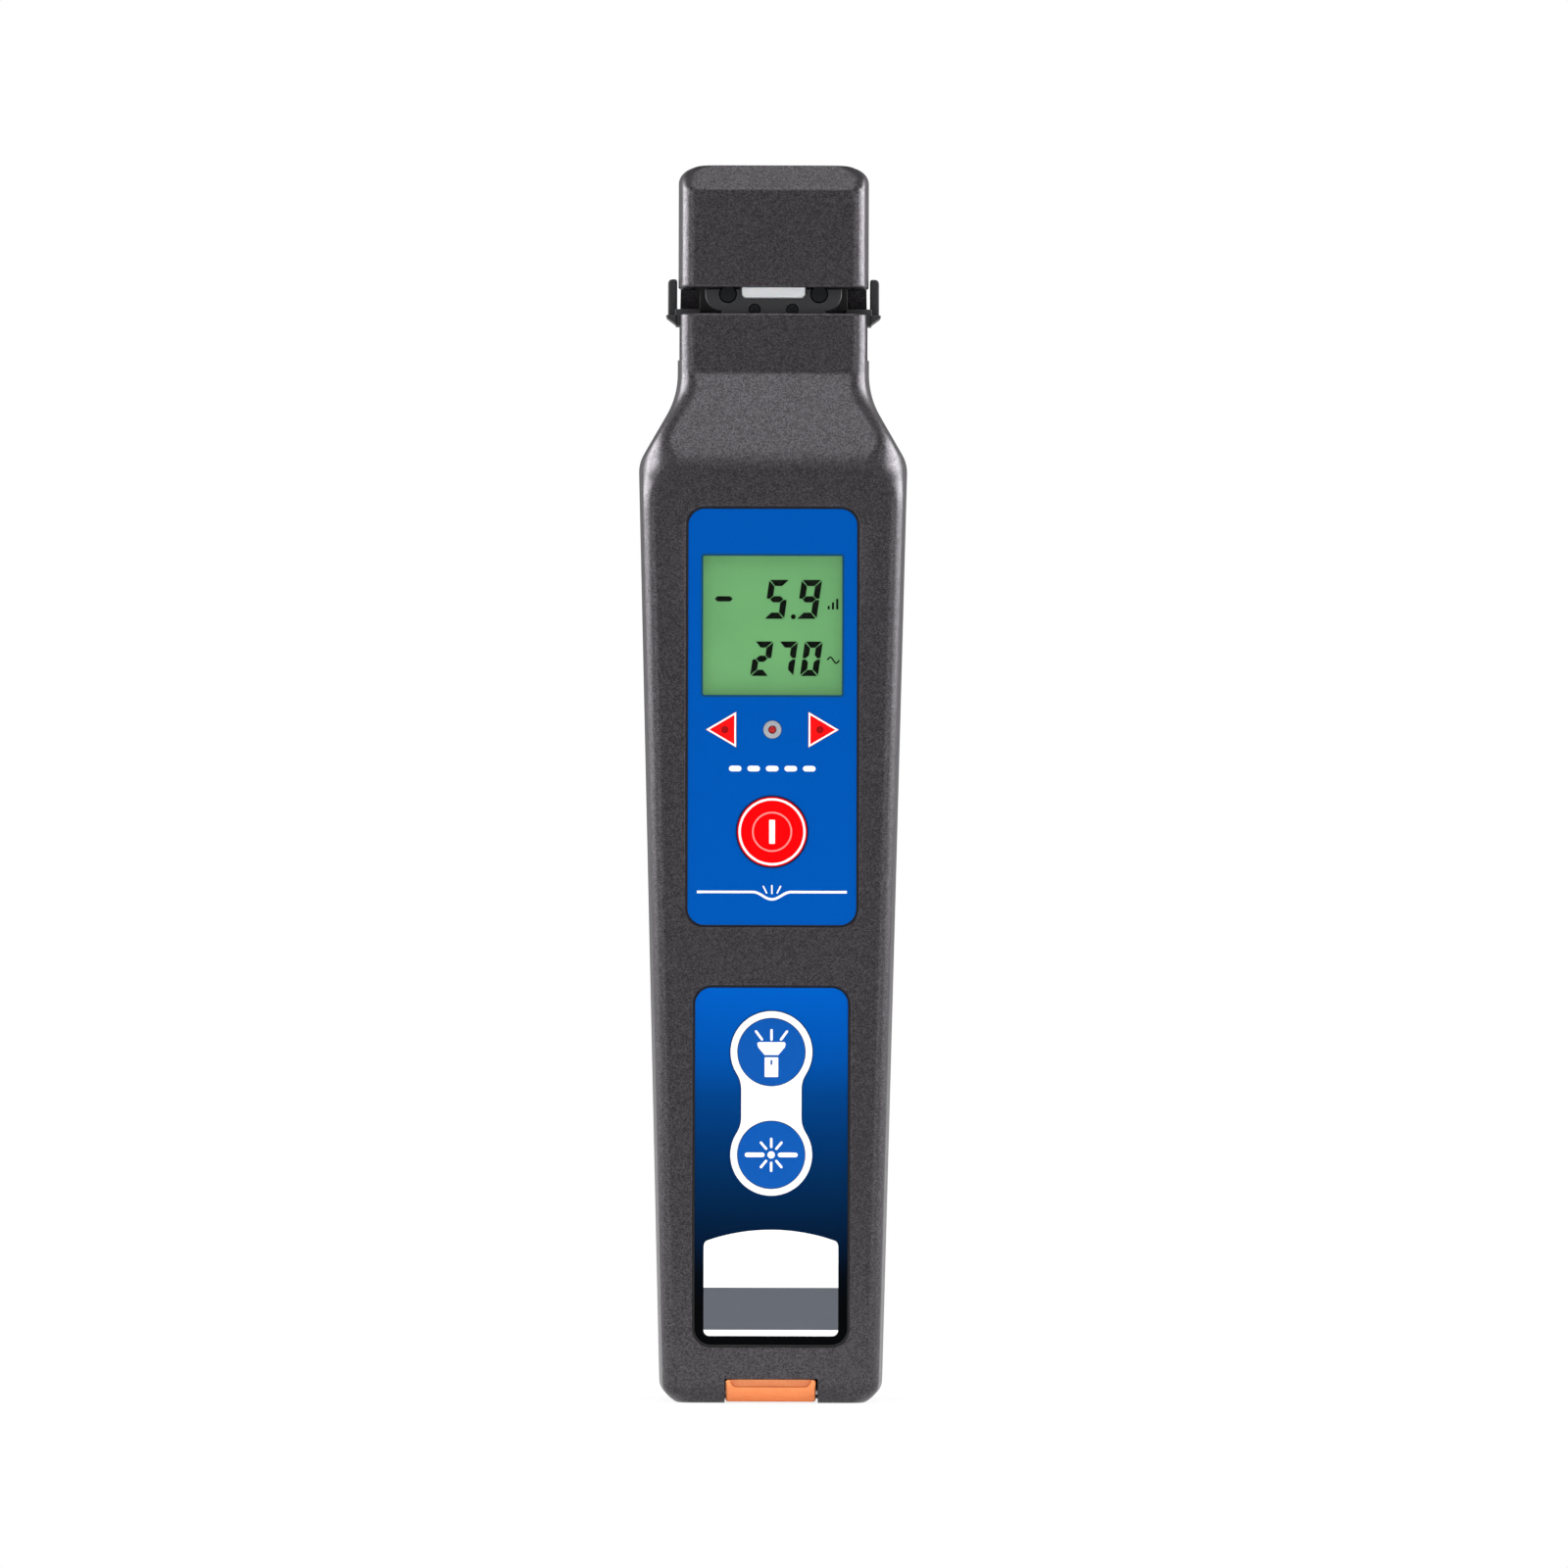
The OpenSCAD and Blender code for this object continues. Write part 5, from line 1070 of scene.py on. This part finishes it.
def makeCover():
    (left, y0, z0), (right, _, z1) = boxOf("port_cover")
    _, pinY, pinZ = centreOf("cover_pin")
    half, r, wall, e = (right - left) / 2, flap["round"], flap["wall"], flap["barrelEdge"]
    endY = pinY - 0.07
    side = [(frontExact(z0) + 0.1, z0), (y0, flap["bowZ"]), (y0, z1), (y0 + wall, z1), (y0 + wall, z0 + wall),
            (endY, z0 + wall), (endY, z0)]
    ends = [(half - r, 0), (half - r * 0.3, r * 0.3), (half, r)]
    stations = [(-x, pull) for x, pull in ends[::-1]] + ends
    lid = roundOff(stackRings([across(inset(side, pull) if pull else side, x) for x, pull in stations]), 0.16)
    barrel = stackRings([across(circle(pinY, pinZ, flap["barrelR"] - edge, 40), x) for x, edge in
                         ((-half, e), (-half + e, 0), (half - e, 0), (half, e))])
    bore = stackRings([across(circle(pinY, pinZ, flap["boreR"], 32), x) for x in (-9, 9)])
    # The scoop: a nail groove along the upper edge, its two lower corners rounded
    w = flap["scoopW"] / 2
    cup = [(-w, z1 + 1)] + roundFoot(w, z1 - flap["scoopH"], flap["scoopR"], 8) + [(w, z1 + 1)]
    scoop = stackRings([lay(inset(cup, -grow), y0 + deep) for deep, grow in
                        ((-1, 0.4), (0, 0.22), (0.08, 0.08), (0.25, 0.0), (flap["scoopD"], -0.2))])
    makePiece("portCover", [(lid, [bore, scoop]), (barrel, [bore])], orangeFlap, "cover", "orange", "port_cover")


# Battery door: a flush lid with a rounded rim, grip grooves and two lower tabs
door = {"width": 30.2, "z0": 25.0, "z1": 88.2, "y0": 14.2, "y1": 16.0, "round": 0.7, "edge": 0.3,
        "grooves": (84.45, 82.45, 80.45, 78.45), "tabX": 8, "tabHalf": 2, "tabTop": 25.8}


def makeDoor():
    low = boxOf("battery_door")[0]
    y0, y1, z0, z1 = (door[k] for k in ("y0", "y1", "z0", "z1"))
    outline = roundRect(0, (z0 + z1) / 2, door["width"], z1 - z0, door["round"], 4)
    grooves = [flaredCutter(roundRect(0, z, 14, 0.9, 0.4, 4), y1, y1 - 0.5, 0.15) for z in door["grooves"]]
    parts = [(plate(outline, y1, y0, door["edge"], 4), grooves)]
    for x in (-door["tabX"], door["tabX"]):
        for sizes in ((low[1], 13.8, low[2], door["tabTop"]), (13.7, y0 + 0.1, z0, door["tabTop"])):
            parts.append(box(x - door["tabHalf"], x + door["tabHalf"], *sizes))
    makePiece("batteryDoor", parts, casingPaint, "door", "casing", "battery_door")


makeCover()
makeDoor()
print("cover and door made")


# Inner pieces keep their CAD shape and take the finish of the real thing
finishes = (
    (acrylic, "lcd_window torch_lens"), (lcdGreen, "lcd_panel"), (diffuser, "backlight"),
    (ivoryNylon, "lcd_holder flex_connector"), (polyimide, "flex_cable"), (ledEpoxy, "arrow_leds torch_led"),
    (chipEpoxy, "key_switches board_chips buzzer"), (boardGreen, "main_board torch_board detector_board"),
    (blackNylon, "port_housing clamp_carriage anvil_holder battery_tray"),
    (zincSteel, "board_screws cover_pin guide_rods bracket_screws holder_screws"),
    (nickelSilver, "ferrule_sleeve photodetectors detector_shield contact_plates"),
    (turnedBrass, "laser_module"), (castZinc, "rod_bracket"), (springSteel, "contact_springs"),
    (sleevedCell("cellSleeveLeft", "battery_left", True), "battery_left"),
    (sleevedCell("cellSleeveRight", "battery_right", False), "battery_right"))
finished = [(name, material) for material, names in finishes for name in names.split()]
for name, material in finished:
    nodes[name].data.materials.clear()
    nodes[name].data.materials.append(material)


# Return springs: wound wire on the guide rods
spring = {"wire": 0.3, "turns": 6, "steps": 24, "sides": 8, "closed": 0.5}


def makeSprings():
    low, high = boxOf("return_springs")
    midY = (low[1] + high[1]) / 2
    r, wire, count = (high[1] - low[1]) / 2, spring["wire"], spring["turns"] * spring["steps"]
    section = [2 * pi * j / spring["sides"] for j in range(spring["sides"])]
    coils = []
    for x in (r - high[0], high[0] - r):
        rings = []
        for i in range(count + 1):
            a = 2 * pi * i / spring["steps"]
            z = low[2] + wire + (high[2] - low[2] - 2 * wire) * i / count
            reaches = [(r - wire + wire * cos(b), z + wire * sin(b)) for b in section]
            rings.append([(x + reach * cos(a), midY + reach * sin(a), h) for reach, h in reaches])
        coils.append(stackRings(rings))
    springs = makePiece("returnSprings", coils, springSteel, "casing", "steel", "return_springs")
    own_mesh(springs)


makeSprings()
plain = [name for name, node in nodes.items() if name not in dict(finished) and not node.hide_render]
print("finishes set; CAD nodes left plain:", plain)


# Studio: pale floor, white backdrop, a soft front, a broad box overhead and two side boxes for the upright
# edges. Lamps are place, aim, power, width and height in metres and watts; those off centre come in pairs
studio = {"floorSize": 3.0, "floorTone": "f6f6f5", "floorZ": -0.00005, "shadowNear": 0.03, "shadowFar": 0.16,
          "shadowShare": 0.86, "worldLight": 0.08, "worldGloss": 0.13,
          "topBox": ((0, -0.74, 0.83), (0, 0, 0.15), 2.9, 0.5, 0.54),
          "overBox": ((0, -0.12, 0.85), (0, 0, 0.2), 2.2, 0.7, 0.5),
          "frontBox": ((0.95, -1.2, 0.2), (0, 0, 0.12), 2.15, 0.45, 0.45),
          "sideBox": ((0.52, 0.11, 0.3), (0, 0, 0.25), 6.0, 0.56, 0.28),
          "lowBox": ((0.55, -0.02, 0.08), (0, 0, 0.08), 0.22, 0.5, 0.15),
          "footStrip": ((0, -0.075, 0.004), (0, -0.01, 0.003), 0.003, 0.05, 0.008)}


# The larger of two values, each a (node, output)
def larger(tree, first, second):
    return addNode(tree, "Math", {"operation": "MAXIMUM"}, {0: first, 1: second}), "Value"


# An emptied node tree with its output and the light path that its rays are told apart by
def bareTree(holder, outputKind):
    holder.use_nodes = True
    tree = holder.node_tree
    tree.nodes.clear()
    return tree, addNode(tree, outputKind), addNode(tree, "LightPath")


# Near-white to camera, gloss and transmission rays; close to the object its own shade keeps the shadow
def paperFloor():
    material = bpy.data.materials.new("paperFloor")
    tree, output, path = bareTree(material, "OutputMaterial")
    matt = addNode(tree, "BsdfDiffuse", {"Color": paint(studio["floorTone"])})
    white = addNode(tree, "Emission", {"Color": (1, 1, 1, 1), "Strength": 1.0})
    seen = larger(tree, larger(tree, (path, "Is Camera Ray"), (path, "Is Glossy Ray")), (path, "Is Transmission Ray"))
    away = addNode(tree, "VectorMath", {"operation": "LENGTH"}, {0: objectPlace(tree)})
    share = mapRange(tree, away, "Value", studio["shadowShare"], 1.0, studio["shadowNear"], studio["shadowFar"])
    factor = addNode(tree, "Math", {"operation": "MULTIPLY"}, {0: seen, 1: (share, "Result")})
    mix = addNode(tree, "MixShader", {}, {0: (factor, "Value"), 1: (matt, "BSDF"), 2: (white, "Emission")})
    drive(tree, output, "Surface", mix, "Shader")
    return material


def makeStage():
    s = studio["floorSize"]
    mesh = bpy.data.meshes.new("floor")
    mesh.from_pydata([(-s, -s, 0), (s, -s, 0), (s, s, 0), (-s, s, 0)], [], [(0, 1, 2, 3)])
    mesh.materials.append(paperFloor())
    floor = place("floor", mesh)
    floor.location = (0, 0, studio["floorZ"])
    world = bpy.data.worlds.new("studioWorld")
    bpy.context.scene.world = world
    tree, output, path = bareTree(world, "OutputWorld")
    plain = mapRange(tree, path, "Is Glossy Ray", studio["worldLight"], studio["worldGloss"])
    seen = larger(tree, (path, "Is Camera Ray"), (path, "Is Transmission Ray"))
    sky = addNode(tree, "Background", {"Color": (1, 1, 1, 1)}, {"Strength": larger(tree, seen, (plain, "Result"))})
    drive(tree, output, "Surface", sky, "Background")


def makeLights():
    pairs = ("frontBox", "sideBox", "lowBox")
    for side, ending, names in ((1, "", ("topBox", "overBox")), (-1, "Left", pairs), (1, "Right", pairs),
                                (1, "", ("footStrip",))):
        for name in names:
            (x, y, z), aim, power, width, height = studio[name]
            lamp = bpy.data.lights.new(name + ending, "AREA")
            lamp.energy, lamp.shape, lamp.size, lamp.size_y = power, "RECTANGLE", width, height
            piece = place(name + ending, lamp)
            piece.location = (side * x, y, z)
            piece.rotation_euler = (Vector(aim) - Vector((side * x, y, z))).to_track_quat("-Z", "Y").to_euler()


view = {"x": 0.0020, "z": 0.1049, "distance": 2.4, "frame": 0.2655, "roll": -0.154, "sensor": 36, "clipEnd": 20}


def makeCamera():
    camera = place("camera", bpy.data.cameras.new("camera"))
    camera.data.sensor_width = view["sensor"]
    camera.data.lens = view["sensor"] * view["distance"] / view["frame"]
    camera.data.clip_end = view["clipEnd"]
    camera.location = (view["x"], casing["frontY"] * mm - view["distance"], view["z"])
    camera.rotation_euler = (radians(90), radians(view["roll"]), 0)
    bpy.context.scene.camera = camera


makeStage()
makeLights()
makeCamera()
bpy.context.scene.view_settings.view_transform = "Standard"
print("stage, lights and camera made")
